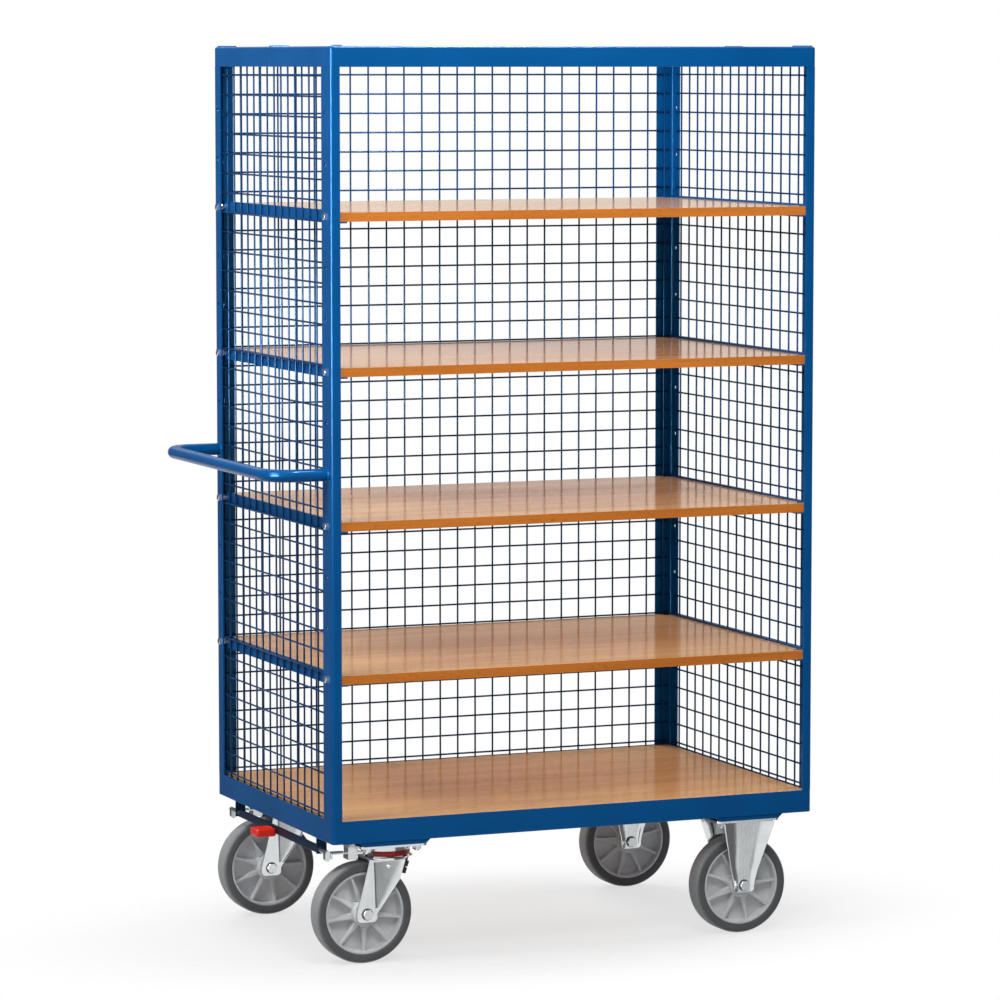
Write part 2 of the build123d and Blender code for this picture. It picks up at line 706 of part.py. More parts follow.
# Swivel forks: pressed U trailing behind the kingpin, with a tab for the brake adjuster
axle_x = -swivel_offset
for side, wheel_y in caster_sides.items():
    with BuildPart() as swivel_fork:
        fork_channel(swivel_x, wheel_y, crown_top, swivel_offset + foot_half, fork_top_front)
        fork_outline(swivel_x, wheel_y, axle_x,
                     [(axle_x - foot_half, axle_height), (-fork_top_back, crown_top),
                      (fork_top_front, crown_top), (fork_top_front, crown_bottom - fork_thickness),
                      (fork_waist_front, crown_top - fork_waist_drop), (axle_x + foot_half, axle_height)])
        with BuildSketch(Plane.XY.offset(crown_bottom)):
            with Locations((swivel_x, wheel_y)):
                Circle(crown_radius)
            with Locations((swivel_x + adjuster_reach / 2, wheel_y)):
                Rectangle(adjuster_reach, adjuster_tab_width)
            with Locations((swivel_x + adjuster_reach, wheel_y)):
                Circle(adjuster_tab_width / 2)
        extrude(amount=fork_thickness)
        with BuildSketch(Plane.XY.offset(crown_bottom)):
            with Locations((swivel_x, wheel_y)):
                Circle(kingpin_radius + running_gap)
        extrude(amount=fork_thickness, mode=Mode.SUBTRACT)
        with BuildSketch(stud_plane(wheel_y, 0)):
            Circle(adjuster_stud_radius + running_gap)
        extrude(amount=fork_thickness, both=True, mode=Mode.SUBTRACT)
        with BuildSketch(along_axle(swivel_x - swivel_offset, wheel_y, axle_height)):
            Circle(axle_diameter / 2 + running_gap)
        extrude(amount=fork_half, both=True, mode=Mode.SUBTRACT)
    keep(swivel_fork, f"{side}_swivel_fork")

    with BuildPart() as ball_race:
        with BuildSketch(Plane.XY.offset(crown_top)):
            with Locations((swivel_x, wheel_y)):
                Circle(race_radius)
                Circle(race_bore_radius, mode=Mode.SUBTRACT)
        extrude(amount=cup_bottom - swivel_gap - crown_top)
    keep(ball_race, f"{side}_ball_race")

    with BuildPart() as swivel_axle:
        axle_set(swivel_x - swivel_offset, wheel_y)
    keep(swivel_axle, f"{side}_swivel_axle")

    with BuildPart() as brake_adjuster:
        with BuildSketch(stud_plane(wheel_y, -adjuster_length)):
            Circle(adjuster_stud_radius)
        extrude(amount=adjuster_length + adjuster_end)
        for step in range(2):
            with BuildSketch(stud_plane(wheel_y, adjuster_knob_step * step - adjuster_length)):
                RegularPolygon(adjuster_knob / 2, 6, major_radius=False)
            extrude(amount=adjuster_knob_height)
    keep(brake_adjuster, f"{side}_brake_adjuster")


# One wheel: soft tyre, ribbed rim and two ball bearings
def wheel(place, x, y):
    name = f"{place}_wheel"
    center = (x, y, axle_height)
    spin = Axis(center, (0, 1, 0))
    section = Plane(origin=center, x_dir=(1, 0, 0), z_dir=(0, 0, 1))
    outer = wheel_diameter / 2
    seat = outer - tyre_thickness
    with BuildPart() as tyre:
        with BuildSketch(section) as tread:
            with Locations((seat + running_gap, 0)):
                Rectangle(tyre_thickness - running_gap, tyre_width, align=(Align.MIN, Align.CENTER))
            fillet(tread.vertices().group_by(Axis.X)[-1], tyre_edge_radius)
        revolve(axis=spin)
    keep(tyre, f"{name}_tyre")

    with BuildPart() as rim:
        with BuildSketch(section):
            with Locations((seat - rim_wall, 0)):
                Rectangle(rim_wall, rim_width, align=(Align.MIN, Align.CENTER))
            with Locations((hub_radius - rim_wall, 0)):
                Rectangle(seat - hub_radius, rim_web, align=(Align.MIN, Align.CENTER))
            with Locations((hub_bore_radius, 0)):
                Rectangle(hub_radius - hub_bore_radius, hub_length, align=(Align.MIN, Align.CENTER))
            for direction in (-1, 1):
                with Locations((0, direction * hub_length / 2)):
                    Rectangle(2 * (bearing_radius + running_gap), 2 * bearing_width, mode=Mode.SUBTRACT)
        revolve(axis=spin)
        for direction in (-1, 1):
            with BuildSketch(along_axle(x, y + direction * rib_root, axle_height, direction)):
                with PolarLocations(0, rim_rib_count, start_angle=direction * (90 - rib_turns[place])):
                    with BuildLine():
                        Polyline((hub_radius - rim_wall / 2, -rib_inner_width / 2),
                                 (seat - rim_wall / 2, -rib_outer_width / 2),
                                 (seat - rim_wall / 2, rib_outer_width / 2),
                                 (hub_radius - rim_wall / 2, rib_inner_width / 2), close=True)
                    make_face()
            extrude(amount=rim_width / 2 - rib_recess - rib_root)
    keep(rim, f"{name}_rim")

    with BuildPart() as bearings:
        for direction in (-1, 1):
            with BuildSketch(along_axle(x, y + direction * hub_length / 2, axle_height, -direction)):
                Circle(bearing_radius)
                Circle(axle_diameter / 2 + running_gap, mode=Mode.SUBTRACT)
            extrude(amount=bearing_width)
    keep(bearings, f"{name}_bearings")


for side, wheel_y in caster_sides.items():
    wheel(f"{side}_left", swivel_x - swivel_offset, wheel_y)
    wheel(f"{side}_right", fixed_x, wheel_y)

# Central brake: a bar turned by the pedal, with a stub at each end that carries a finger for the lock slide
bar_end = frame_width / 2 - brake_bar_end_inset
finger_y = frame_width / 2 - caster_side_inset
shaft_end = finger_y + brake_finger_breadth / 2 + brake_stub_end
with BuildPart() as brake_bar:
    with BuildSketch(along_axle(brake_x, -bar_end, brake_z)):
        Rectangle(brake_bar_thickness, brake_bar_height)
    extrude(amount=2 * bar_end)
    for direction in (-1, 1):
        with BuildSketch(along_axle(brake_x, direction * bar_end, brake_z, direction)):
            Circle(brake_shaft_radius)
        extrude(amount=shaft_end - bar_end)
        with BuildSketch(Plane(origin=(brake_x, direction * finger_y, brake_z), x_dir=(0, 0, -1),
                               z_dir=(0, 1, 0))):
            SlotCenterPoint((brake_finger_length / 2, 0), (brake_finger_length, 0), brake_finger_width)
        extrude(amount=brake_finger_breadth / 2, both=True)
keep(brake_bar, "brake_bar")

with BuildPart() as brake_pedal:
    pedal_back = brake_x - brake_bar_thickness / 2
    with BuildSketch(Plane.XY.offset(brake_z - pedal_height / 2 - pedal_drop)):
        with Locations((pedal_back - pedal_length / 2, pedal_shift)):
            RectangleRounded(pedal_length, pedal_breadth, pedal_radius)
    extrude(amount=pedal_height)
    fillet(brake_pedal.edges().group_by(Axis.Z)[-1], pedal_radius / 2)
keep(brake_pedal, "brake_pedal")

# Lock slides: pushed along X by the fingers, through the window of the lock ring
slide_top = brake_z
slide_start = brake_x + brake_finger_width / 2 + swivel_gap
slide_end = swivel_x - lock_ring_radius - brake_slide_lead
for side, wheel_y in caster_sides.items():
    with BuildPart() as brake_slide:
        with BuildSketch(Plane.XY.offset(slide_top - brake_slide_thickness)):
            with Locations((slide_start, wheel_y)):
                Rectangle(slide_end - slide_start, brake_slide_breadth, align=(Align.MIN, Align.CENTER))
        extrude(amount=brake_slide_thickness)
        with BuildSketch(Plane.XY.offset(slide_top - brake_tab_depth)):
            with Locations((slide_start, wheel_y)):
                Rectangle(brake_slide_thickness, brake_slide_breadth, align=(Align.MIN, Align.CENTER))
        extrude(amount=brake_tab_depth)
    keep(brake_slide, f"{side}_brake_slide")

# Brake brackets: pivot plates under the frame end and blocks that guide the slides
with BuildPart() as brake_brackets:
    bracket_top = ledge_bottom - beam_thickness
    bracket_bottom = brake_z - brake_shaft_radius - brake_slide_thickness
    for direction in (-1, 1):
        bracket_y = direction * (bar_end + brake_bracket_gap)
        with BuildSketch(along_axle(left_face + rail_thickness, bracket_y, 0, -1)):
            with Locations((0, bracket_bottom)):
                Rectangle(brake_bracket_width, bracket_top - bracket_bottom, align=Align.MIN)
            with Locations((brake_shaft_inset - rail_thickness, brake_z)):
                Circle(brake_shaft_radius + running_gap, mode=Mode.SUBTRACT)
        extrude(amount=brake_bracket_thickness / 2, both=True)
    strap_inner = brake_slide_breadth / 2 + swivel_gap
    strap_outer = strap_inner + guide_wall
    strap_floor = slide_top - brake_slide_thickness - swivel_gap
    strap_bottom = strap_floor - guide_floor
    strap_x = swivel_x - plate_length / 2 - guide_overhang
    for wheel_y in caster_sides.values():
        with BuildSketch(across(strap_x, wheel_y, 0)):
            with BuildLine():
                Polyline((-strap_outer, plate_bottom), (-strap_outer, strap_bottom),
                         (strap_outer, strap_bottom), (strap_outer, plate_bottom),
                         (strap_inner, plate_bottom), (strap_inner, strap_floor),
                         (-strap_inner, strap_floor), (-strap_inner, plate_bottom), close=True)
            make_face()
        extrude(amount=guide_length)
keep(brake_brackets, "brake_brackets")
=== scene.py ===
import json
import math
import bmesh
import bpy
from mathutils import Matrix, Vector


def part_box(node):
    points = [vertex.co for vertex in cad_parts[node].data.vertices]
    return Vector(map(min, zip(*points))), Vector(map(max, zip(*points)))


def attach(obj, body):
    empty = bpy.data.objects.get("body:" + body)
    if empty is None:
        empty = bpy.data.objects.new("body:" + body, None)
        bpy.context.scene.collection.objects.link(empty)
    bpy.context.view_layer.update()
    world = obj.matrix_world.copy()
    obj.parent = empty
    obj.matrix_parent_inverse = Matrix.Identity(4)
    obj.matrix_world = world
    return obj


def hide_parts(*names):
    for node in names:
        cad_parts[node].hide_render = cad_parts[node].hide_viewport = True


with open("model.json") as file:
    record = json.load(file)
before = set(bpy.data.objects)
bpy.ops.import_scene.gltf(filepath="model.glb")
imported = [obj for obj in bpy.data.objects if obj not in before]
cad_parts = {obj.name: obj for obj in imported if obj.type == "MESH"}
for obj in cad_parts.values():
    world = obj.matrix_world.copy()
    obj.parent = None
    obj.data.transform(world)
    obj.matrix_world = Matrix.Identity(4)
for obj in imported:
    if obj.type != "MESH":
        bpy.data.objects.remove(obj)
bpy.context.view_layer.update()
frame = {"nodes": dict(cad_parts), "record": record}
scene = bpy.context.scene
scene.view_settings.view_transform = "Standard"
mm = 0.001
tight = 0.01 * mm  # points this close are one point
square = 0.99  # a normal with this much along an axis lies along it
flatAngle = math.radians(0.5)  # faces that meet flatter than this are one face
quarter = math.pi / 2
print("frame loaded:", len(frame["nodes"]), "nodes")


# Camera where the photograph was taken
photoView = {"place": (-3.4935, -8.4457, 1.7666), "down": 5.568, "turn": 22.675, "lens": 161.78, "sensor": 36.0}
cameraData = bpy.data.cameras.new("photoCamera")
cameraData.lens = photoView["lens"]
cameraData.sensor_width = photoView["sensor"]
camera = bpy.data.objects.new("photoCamera", cameraData)
camera.location = photoView["place"]
camera.rotation_euler = (math.radians(90 - photoView["down"]), 0, -math.radians(photoView["turn"]))
scene.collection.objects.link(camera)
scene.camera = camera
print("camera set")


# Helpers for shapes
def clearSelection():
    if bpy.context.mode != "OBJECT":
        bpy.ops.object.mode_set(mode="OBJECT")
    bpy.ops.object.select_all(action="DESELECT")


def work(piece):
    clearSelection()
    piece.select_set(True)
    bpy.context.view_layer.objects.active = piece


def editing(piece):
    work(piece)
    bpy.ops.object.mode_set(mode="EDIT")


def settled(piece):
    work(piece)
    bpy.ops.object.transform_apply(location=True, rotation=True, scale=True)
    return piece


def pick(piece, kind, test):  # select faces, edges or vertices by their place and normal
    bpy.ops.mesh.select_mode(type=kind)
    bpy.ops.mesh.select_all(action="DESELECT")
    shape = bmesh.from_edit_mesh(piece.data)
    if kind == "FACE":
        for face in shape.faces:
            if test(face.calc_center_median(), face.normal):
                face.select_set(True)
    elif kind == "EDGE":
        for edge in shape.edges:
            if test(edge.verts[0].co, edge.verts[1].co):
                edge.select_set(True)
    else:
        for point in shape.verts:
            if test(point.co):
                point.select_set(True)
    shape.select_flush_mode()
    bmesh.update_edit_mesh(piece.data)


def extrude(move):
    bpy.ops.mesh.extrude_region_move(TRANSFORM_OT_translate={"value": move})


def applied(piece, kind, **settings):
    work(piece)
    modifier = piece.modifiers.new(kind.lower(), kind)
    for key, value in settings.items():
        setattr(modifier, key, value)
    bpy.ops.object.modifier_apply(modifier=modifier.name)


def discAt(centre, radius, width, sides):  # disc across Y, left open for editing
    clearSelection()
    bpy.ops.mesh.primitive_cylinder_add(vertices=sides, radius=radius, depth=width, location=centre,
                                        rotation=(quarter, 0, 0))
    disc = settled(bpy.context.object)
    editing(disc)
    return disc


def copyOf(piece, name, move):
    twin = bpy.data.objects.new(name, piece.data.copy())
    scene.collection.objects.link(twin)
    twin.data.transform(Matrix.Translation(move))
    return twin


def joined(pieces, name):
    clearSelection()
    for piece in pieces:
        piece.select_set(True)
    bpy.context.view_layer.objects.active = pieces[0]
    bpy.ops.object.join()
    pieces[0].name = name
    pieces[0].data.name = name
    return pieces[0]


def mergedCopy(node):
    piece = bpy.data.objects.new(node + "_soft", frame["nodes"][node].data.copy())
    scene.collection.objects.link(piece)
    editing(piece)
    bpy.ops.mesh.select_all(action="SELECT")
    bpy.ops.mesh.remove_doubles(threshold=tight)
    bpy.ops.mesh.dissolve_limited(angle_limit=flatAngle)
    bpy.ops.object.mode_set(mode="OBJECT")
    return piece


def cutOff(piece, place, facing):  # drop what lies beyond a plane and close the cut
    editing(piece)
    bpy.ops.mesh.select_all(action="SELECT")
    bpy.ops.mesh.bisect(plane_co=place, plane_no=facing, clear_outer=True, threshold=tight / 10)
    bpy.ops.mesh.fill()
    bpy.ops.mesh.select_all(action="SELECT")
    bpy.ops.mesh.normals_make_consistent(inside=False)
    bpy.ops.mesh.dissolve_limited(angle_limit=flatAngle)
    bpy.ops.object.mode_set(mode="OBJECT")


def roundEdges(piece, width, segments=2, sharper=35):
    applied(piece, "BEVEL", width=width * mm, segments=segments, limit_method="ANGLE",
            angle_limit=math.radians(sharper), use_clamp_overlap=True)
    return piece


def finishPiece(piece, name, material, body, nodes=(), smooth=30, even=False):
    settled(piece)
    bpy.ops.object.shade_smooth_by_angle(angle=math.radians(smooth))
    if even:
        applied(piece, "WEIGHTED_NORMAL", keep_sharp=True)  # broad faces stay flat beside their rounded edges
    piece.name = name
    piece.data.name = name
    piece.data.materials.clear()
    piece.data.materials.append(material)
    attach(piece, body)
    if nodes:
        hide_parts(*nodes)
    clearSelection()


# Helpers for materials
def hexColour(code):
    channels = [int(code[i:i + 2], 16) / 255 for i in (1, 3, 5)]
    return tuple(c / 12.92 if c <= 0.04045 else ((c + 0.055) / 1.055) ** 2.4 for c in channels) + (1.0,)


def addNode(tree, kind, settings=None, values=None, links=None):
    node = tree.nodes.new(kind)
    for key, value in (settings or {}).items():
        setattr(node, key, value)
    for key, value in (values or {}).items():
        node.inputs[key].default_value = value
    for key, source in (links or {}).items():
        tree.links.new(source, node.inputs[key])
    return node


def startMaterial(name):
    material = bpy.data.materials.new(name)
    material.use_nodes = True
    tree = material.node_tree
    place = addNode(tree, "ShaderNodeTexCoord").outputs["Object"]
    return material, tree, place


def noise(tree, place, size, detail, **more):  # sizes in mm, one for all axes or one per axis
    if isinstance(size, tuple):
        scales = tuple(1 / (length * mm) for length in size)
        place = addNode(tree, "ShaderNodeMapping", values={"Scale": scales}, links={"Vector": place}).outputs["Vector"]
        scale = 1.0
    else:
        scale = 1 / (size * mm)
    values = {"Scale": scale, "Detail": detail, **more}
    return addNode(tree, "ShaderNodeTexNoise", values=values, links={"Vector": place}).outputs["Fac"]


def twoTone(tree, factor, span, darkColour, colour):
    ramp = addNode(tree, "ShaderNodeValToRGB", links={"Fac": factor})
    for stop, position, code in zip(ramp.color_ramp.elements, span, (darkColour, colour)):
        stop.position, stop.color = position, hexColour(code)
    return ramp.outputs["Color"]


def laidOver(tree, factor, under, code):
    mix = addNode(tree, "ShaderNodeMix", {"data_type": "RGBA"}, links={"Factor": factor, "A": under})
    mix.inputs["B"].default_value = hexColour(code)
    return mix.outputs["Result"]


def ranged(tree, factor, low, high):
    values = {"To Min": low, "To Max": high}
    return addNode(tree, "ShaderNodeMapRange", values=values, links={"Value": factor}).outputs["Result"]


def finishShader(tree, colour, rough, height, strength, depth, **fixed):
    shader = tree.nodes["Principled BSDF"]
    values = {"Strength": strength, "Distance": depth * mm}
    bump = addNode(tree, "ShaderNodeBump", values=values, links={"Height": height})
    for key, source in (("Base Color", colour), ("Roughness", rough), ("Normal", bump.outputs["Normal"])):
        tree.links.new(source, shader.inputs[key])
    for key, value in fixed.items():
        shader.inputs[key.replace("_", " ")].default_value = value


# Powder coat on steel: glossy, faint orange peel, slightly uneven tone. The peel is drawn at 5 mm so it shows.
coat = {"peelSize": 5.0, "peelDetail": 1.0, "peelHeight": 0.6, "patchSize": 160.0, "patchDetail": 3.0,
        "toneSpan": (0.3, 0.7), "smoother": 0.04, "rougher": 0.05, "sheen": "#5aa6ee", "clear": 0.05,
        "clearGloss": 0.12}


def powderCoat(name, colour, deepColour, gloss, shine, peelDepth=0.08):
    material, tree, place = startMaterial(name)
    patch = noise(tree, place, coat["patchSize"], coat["patchDetail"])
    peel = noise(tree, place, coat["peelSize"], coat["peelDetail"])
    finishShader(tree, twoTone(tree, patch, coat["toneSpan"], deepColour, colour),
                 ranged(tree, patch, gloss - coat["smoother"], gloss + coat["rougher"]),
                 peel, peelDepth, coat["peelHeight"], Specular_IOR_Level=shine,
                 Specular_Tint=hexColour(coat["sheen"]),  # keeps the sheen on flat faces blue
                 Coat_Weight=coat["clear"], Coat_Roughness=coat["clearGloss"])
    return material


# Beech print under melamine: warm beige, long streaks 3 mm wide, short darker flecks, satin sheen.
beechPrint = {"streak": (220.0, 3.0, 3.0), "streakDetail": 3.0, "streakRough": 0.6, "streakShare": 0.55,
              "band": (495.0, 55.0, 55.0), "bandDetail": 2.0, "bandSway": 0.4, "toneSpan": (0.58, 0.98),
              "fleck": (14.4, 1.6, 1.6), "fleckFrom": 0.63, "fleckFull": 0.75, "fleckShare": 0.45,
              "smoother": 0.05, "rougher": 0.06, "relief": 0.015, "reliefHeight": 0.3}


def beechMelamine(name, colour, darkColour, fleckColour, gloss, shine):
    material, tree, place = startMaterial(name)
    streak = noise(tree, place, beechPrint["streak"], beechPrint["streakDetail"], Roughness=beechPrint["streakRough"])
    band = noise(tree, place, beechPrint["band"], beechPrint["bandDetail"], Distortion=beechPrint["bandSway"])
    both = addNode(tree, "ShaderNodeMath", {"operation": "MULTIPLY_ADD"}, {1: beechPrint["streakShare"]},
                   {0: streak, 2: band}).outputs["Value"]
    fleck = noise(tree, place, beechPrint["fleck"], 0.0)
    mask = addNode(tree, "ShaderNodeMapRange", values={"From Min": beechPrint["fleckFrom"],
                                                       "From Max": beechPrint["fleckFull"],
                                                       "To Max": beechPrint["fleckShare"]}, links={"Value": fleck})
    tone = twoTone(tree, both, beechPrint["toneSpan"], darkColour, colour)
    finishShader(tree, laidOver(tree, mask.outputs["Result"], tone, fleckColour),
                 ranged(tree, streak, gloss - beechPrint["smoother"], gloss + beechPrint["rougher"]),
                 streak, beechPrint["relief"], beechPrint["reliefHeight"], Specular_IOR_Level=shine)
    return material


# Zinc plating on pressed steel: bright, faintly clouded by handling, with drawing lines drawn 2 mm wide so they show.
plating = {"cloudSize": 30.0, "cloudDetail": 3.0, "toneSpan": (0.3, 0.7), "lines": (2.0, 2.0, 60.0), "lineDetail": 2.0,
           "smoother": 0.06, "rougher": 0.1, "relief": 0.1, "reliefHeight": 0.4}


def zincPlate(name, colour, darkColour, gloss):
    material, tree, place = startMaterial(name)
    cloud = noise(tree, place, plating["cloudSize"], plating["cloudDetail"])
    lines = noise(tree, place, plating["lines"], plating["lineDetail"])
    finishShader(tree, twoTone(tree, cloud, plating["toneSpan"], darkColour, colour),
                 ranged(tree, lines, gloss - plating["smoother"], gloss + plating["rougher"]),
                 lines, plating["relief"], plating["reliefHeight"], Metallic=1.0)
    return material


# Moulded plastics and rubber: even tone with faint flow marks and a fine grain, drawn at 3 mm so it shows.
mouldMarks = {"flowSize": 35.0, "flowDetail": 3.0, "toneSpan": (0.3, 0.7), "grainSize": 3.0, "grainDetail": 2.0,
              "grainHeight": 0.4, "smoother": 0.05, "rougher": 0.08}


def moulded(name, colour, darkColour, gloss, grain, specular=0.5, wearAndLightColour=None):
    material, tree, place = startMaterial(name)
    flow = noise(tree, place, mouldMarks["flowSize"], mouldMarks["flowDetail"])
    shown = twoTone(tree, flow, mouldMarks["toneSpan"], darkColour, colour)
    if wearAndLightColour:
        tread = addNode(tree, "ShaderNodeAttribute", {"attribute_name": "tread"})
        shown = laidOver(tree, tread.outputs["Fac"], shown, wearAndLightColour)  # running surface drawn paler: partly rubbed wear, partly painted light on the tread
    fine = noise(tree, place, mouldMarks["grainSize"], mouldMarks["grainDetail"])
    finishShader(tree, shown, ranged(tree, fine, gloss - mouldMarks["smoother"], gloss + mouldMarks["rougher"]),
                 fine, grain, mouldMarks["grainHeight"], Specular_IOR_Level=specular)
    return material


bluePaint = powderCoat("bluePowderCoat", "#015190", "#014b86", 0.2, 0.3)
# wires drawn a darker blue than the frame's coat: the darker tone is painted shade for wires whose lit side faces away
shadedWirePaint = powderCoat("blueWireCoatPaintedShade", "#083c6d", "#07335f", 0.22, 0.4, 0.02)
darkPaint = powderCoat("darkBluePowderCoat", "#12263f", "#0e1f35", 0.3, 0.2)
beech = beechMelamine("beechMelamine", "#eeb97b", "#dda566", "#ac713a", 0.13, 0.5)
edgeBand = beechMelamine("beechEdgeBand", "#d27d30", "#c06e25", "#95531c", 0.4, 0.15)
zinc = zincPlate("brightZincPlate", "#dfe2e4", "#d0d4d7", 0.2)
forkZinc = zincPlate("pressedZincSheet", "#e2e5e6", "#d5d9db", 0.13)
bearingSteel = zincPlate("bearingSteel", "#b9bcbf", "#a3a6a9", 0.3)
# dark steel for the axle washers: painted shade round the axle heads
shadeDarkSteel = zincPlate("darkWasherSteelPaintedShade", "#5b5d60", "#4b4d50", 0.35)
# the last colour is the paler running surface: partly rubbed wear, partly painted light on the tread
tyreRubber = moulded("greyRubber", "#56585b", "#4f5154", 0.62, 0.2, 0.25, "#8e9092")
rimPlastic = moulded("greyPolypropylene", "#cfd0d2", "#c4c5c7", 0.45, 0.1, 0.3)
redPlastic = moulded("redPolyamide", "#ea2a12", "#dc220c", 0.32, 0.08, 0.3)
darkRedPlastic = moulded("darkRedPolyamide", "#94170f", "#84120b", 0.3, 0.08, 0.3)
blackPlastic = moulded("blackPolyamide", "#1b1c1e", "#141516", 0.42, 0.12)
slotMaterials = {"blue_powder_coat": bluePaint, "blue_coated_wire": shadedWirePaint, "beech_board": beech,
                 "brown_edge_band": edgeBand, "zinc_plated_steel": zinc, "zinc_pressed_steel": forkZinc,
                 "grey_tyre": tyreRubber, "grey_rim_plastic": rimPlastic, "bearing_steel": bearingSteel,
                 "dark_blue_coat": darkPaint, "red_plastic": redPlastic, "dark_red_plastic": darkRedPlastic,
                 "black_plastic": blackPlastic}
nodeSlot = {part["node"]: part["material_slot"] for part in frame["record"]["subparts"]}
bodyOf = {name: body for body, names in frame["record"]["behaviour"]["bodies"].items() for name in names}
for name, node in frame["nodes"].items():
    node.data.materials.clear()
    node.data.materials.append(slotMaterials[nodeSlot[name]])
print("materials made:", len(slotMaterials))


# Rounded copies of the folded sheet pieces, boards and fasteners
softEdges = {"base_frame_front": 0.9, "base_frame_rear": 0.9, "top_frame_front": 0.9, "top_frame_rear": 0.9,
             "front_left_post": 0.8, "front_right_post": 0.8, "rear_left_post": 0.8, "rear_right_post": 0.8,
             "left_crossbeam": 0.8, "right_crossbeam": 0.8, "left_shelf_bearers": 0.7, "right_shelf_bearers": 0.7,
             "deck_board": 0.6, "shelf_1": 0.5, "shelf_2": 0.5, "shelf_3": 0.5, "shelf_4": 0.5,
             "shelf_edge_bands": 0.3, "front_swivel_plate": 1.2, "rear_swivel_plate": 1.2, "lock_rings": 0.8,
             "front_ball_race": 2.0, "rear_ball_race": 2.0,
             "front_brake_slide": 0.6, "rear_brake_slide": 0.6, "caster_bolts": 0.6, "caster_nuts": 0.7,
             "fixed_axles": 0.8, "front_swivel_axle": 0.8, "rear_swivel_axle": 0.8,
             "front_brake_adjuster": 1.0, "rear_brake_adjuster": 1.0}
topBend = {"radius": 5.0, "steps": 5, "reach": 9.0}  # bend along the outside of the top ring
ringLow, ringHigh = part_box("top_frame_front")[0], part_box("top_frame_rear")[1]


def onTopBend(a, b):
    def outside(p):
        inward = min(p.x - ringLow.x, ringHigh.x - p.x, p.y - ringLow.y, ringHigh.y - p.y)
        return p.z > ringHigh.z - tight and inward < topBend["reach"] * mm

    return outside(a) and outside(b)


for node, width in softEdges.items():
    slotName = nodeSlot[node]
    piece = mergedCopy(node)
    if node.startswith("top_frame"):
        editing(piece)
        pick(piece, "EDGE", onTopBend)
        bpy.ops.mesh.bevel(offset=topBend["radius"] * mm, segments=topBend["steps"], profile=0.5)
        bpy.ops.object.mode_set(mode="OBJECT")
    finishPiece(roundEdges(piece, width), node + "_rounded", slotMaterials[slotName], bodyOf[node], [node],
                even=True)
print("rounded pieces:", len(softEdges))


# Brake bar: painted flat between its ends, with bare zinc stubs and fingers
brakeBar = {"end": 236.0, "edge": 1.2, "stubEdge": 0.5, "saw": 0.01, "weld": 0.4}
flat = mergedCopy("brake_bar")
stubs = []
for out in (-1, 1):
    cutOff(flat, (0, out * (brakeBar["end"] - brakeBar["saw"]) * mm, 0), (0, out, 0))
    stub = mergedCopy("brake_bar")
    cutOff(stub, (0, out * (brakeBar["end"] + brakeBar["saw"]) * mm, 0), (0, -out, 0))
    editing(stub)
    bpy.ops.mesh.select_all(action="SELECT")
    bpy.ops.mesh.remove_doubles(threshold=brakeBar["weld"] * mm)  # short edges would stop the rounding
    bpy.ops.object.mode_set(mode="OBJECT")
    stubs.append(roundEdges(stub, brakeBar["stubEdge"]))
finishPiece(roundEdges(flat, brakeBar["edge"]), "brake_bar_flat", darkPaint, "brake_lever",
            ["brake_bar"], even=True)
finishPiece(joined(stubs, "brake_stubs"), "brake_stubs", zinc, "brake_lever", even=True)
print("brake bar made")


# Brackets of the brake: hangers that carry the bar, drawn dark blue, and zinc guides for the lock slides
brakeBracket = {"edge": 0.6, "behind": 25.0}
splitPlace = (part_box("brake_bar")[1].x + brakeBracket["behind"] * mm, 0, 0)
hangers, guides = mergedCopy("brake_brackets"), mergedCopy("brake_brackets")
for bracket, near in ((hangers, False), (guides, True)):
    editing(bracket)
    bpy.ops.mesh.select_all(action="SELECT")
    bpy.ops.mesh.bisect(plane_co=splitPlace, plane_no=(1, 0, 0), clear_outer=not near, clear_inner=near)
    bpy.ops.object.mode_set(mode="OBJECT")
    roundEdges(bracket, brakeBracket["edge"])
finishPiece(hangers, "brake_hangers", darkPaint, "trolley", ["brake_brackets"], even=True)
finishPiece(guides, "brake_slide_guides", zinc, "trolley", even=True)
print("brake brackets made")


# Swivel forks: pressed sheet with a flat band along the back and a hollow along the front of each leg
swivelPress = {"edge": 1.0, "footFrom": 11.5, "footUp": 5.0, "trail": 50.0, "crownHalf": 44.0, "footHalf": 21.0,
               "legOut": 35.0, "legNear": 0.5, "bandTop": 7.0, "bandFoot": 38.0, "hollowLow": 10.0, "flange": 1.5,
               "slope": 3.0, "depth": 0.5, "lean": 2.8}
legRivet = {"sides": 24, "radius": 4.5, "long": 6.0, "seat": 32.0, "high": 1.6, "back": 4.0, "down": 17.0, "edge": 1.4}


def rivetAt(place):
    rivet = discAt(place, legRivet["radius"] * mm, legRivet["long"] * mm, legRivet["sides"])
    return roundEdges(rivet, legRivet["edge"], 3)


def pressHollow(fork, axle, foldFoot, front, out):
    lowEdge = axle + Vector((0, 0, swivelPress["hollowLow"] * mm))

    def onLeg(p, n):
        off = abs((p.y - axle.y) * out - swivelPress["legOut"] * mm)
        return n.y * out > square and off < swivelPress["legNear"] * mm

    def inHollow(p, n):
        return onLeg(p, n) and (p - foldFoot).dot(front) > 0 and p.z > lowEdge.z

    editing(fork)
    pick(fork, "FACE", onLeg)
    bpy.ops.mesh.bisect(plane_co=foldFoot, plane_no=front)
    pick(fork, "FACE", onLeg)
    bpy.ops.mesh.bisect(plane_co=lowEdge, plane_no=(0, 0, 1))
    pick(fork, "FACE", inHollow)
    bpy.ops.mesh.inset(thickness=swivelPress["flange"] * mm)
    bpy.ops.mesh.inset(thickness=swivelPress["slope"] * mm, depth=-swivelPress["depth"] * mm)
    lean = math.tan(math.radians(swivelPress["lean"]))
    for point in bmesh.from_edit_mesh(fork.data).verts:
        if point.select:  # floor of the hollow falls away towards the front edge
            point.co.y -= out * lean * (point.co - foldFoot).dot(front)
    bmesh.update_edit_mesh(fork.data)


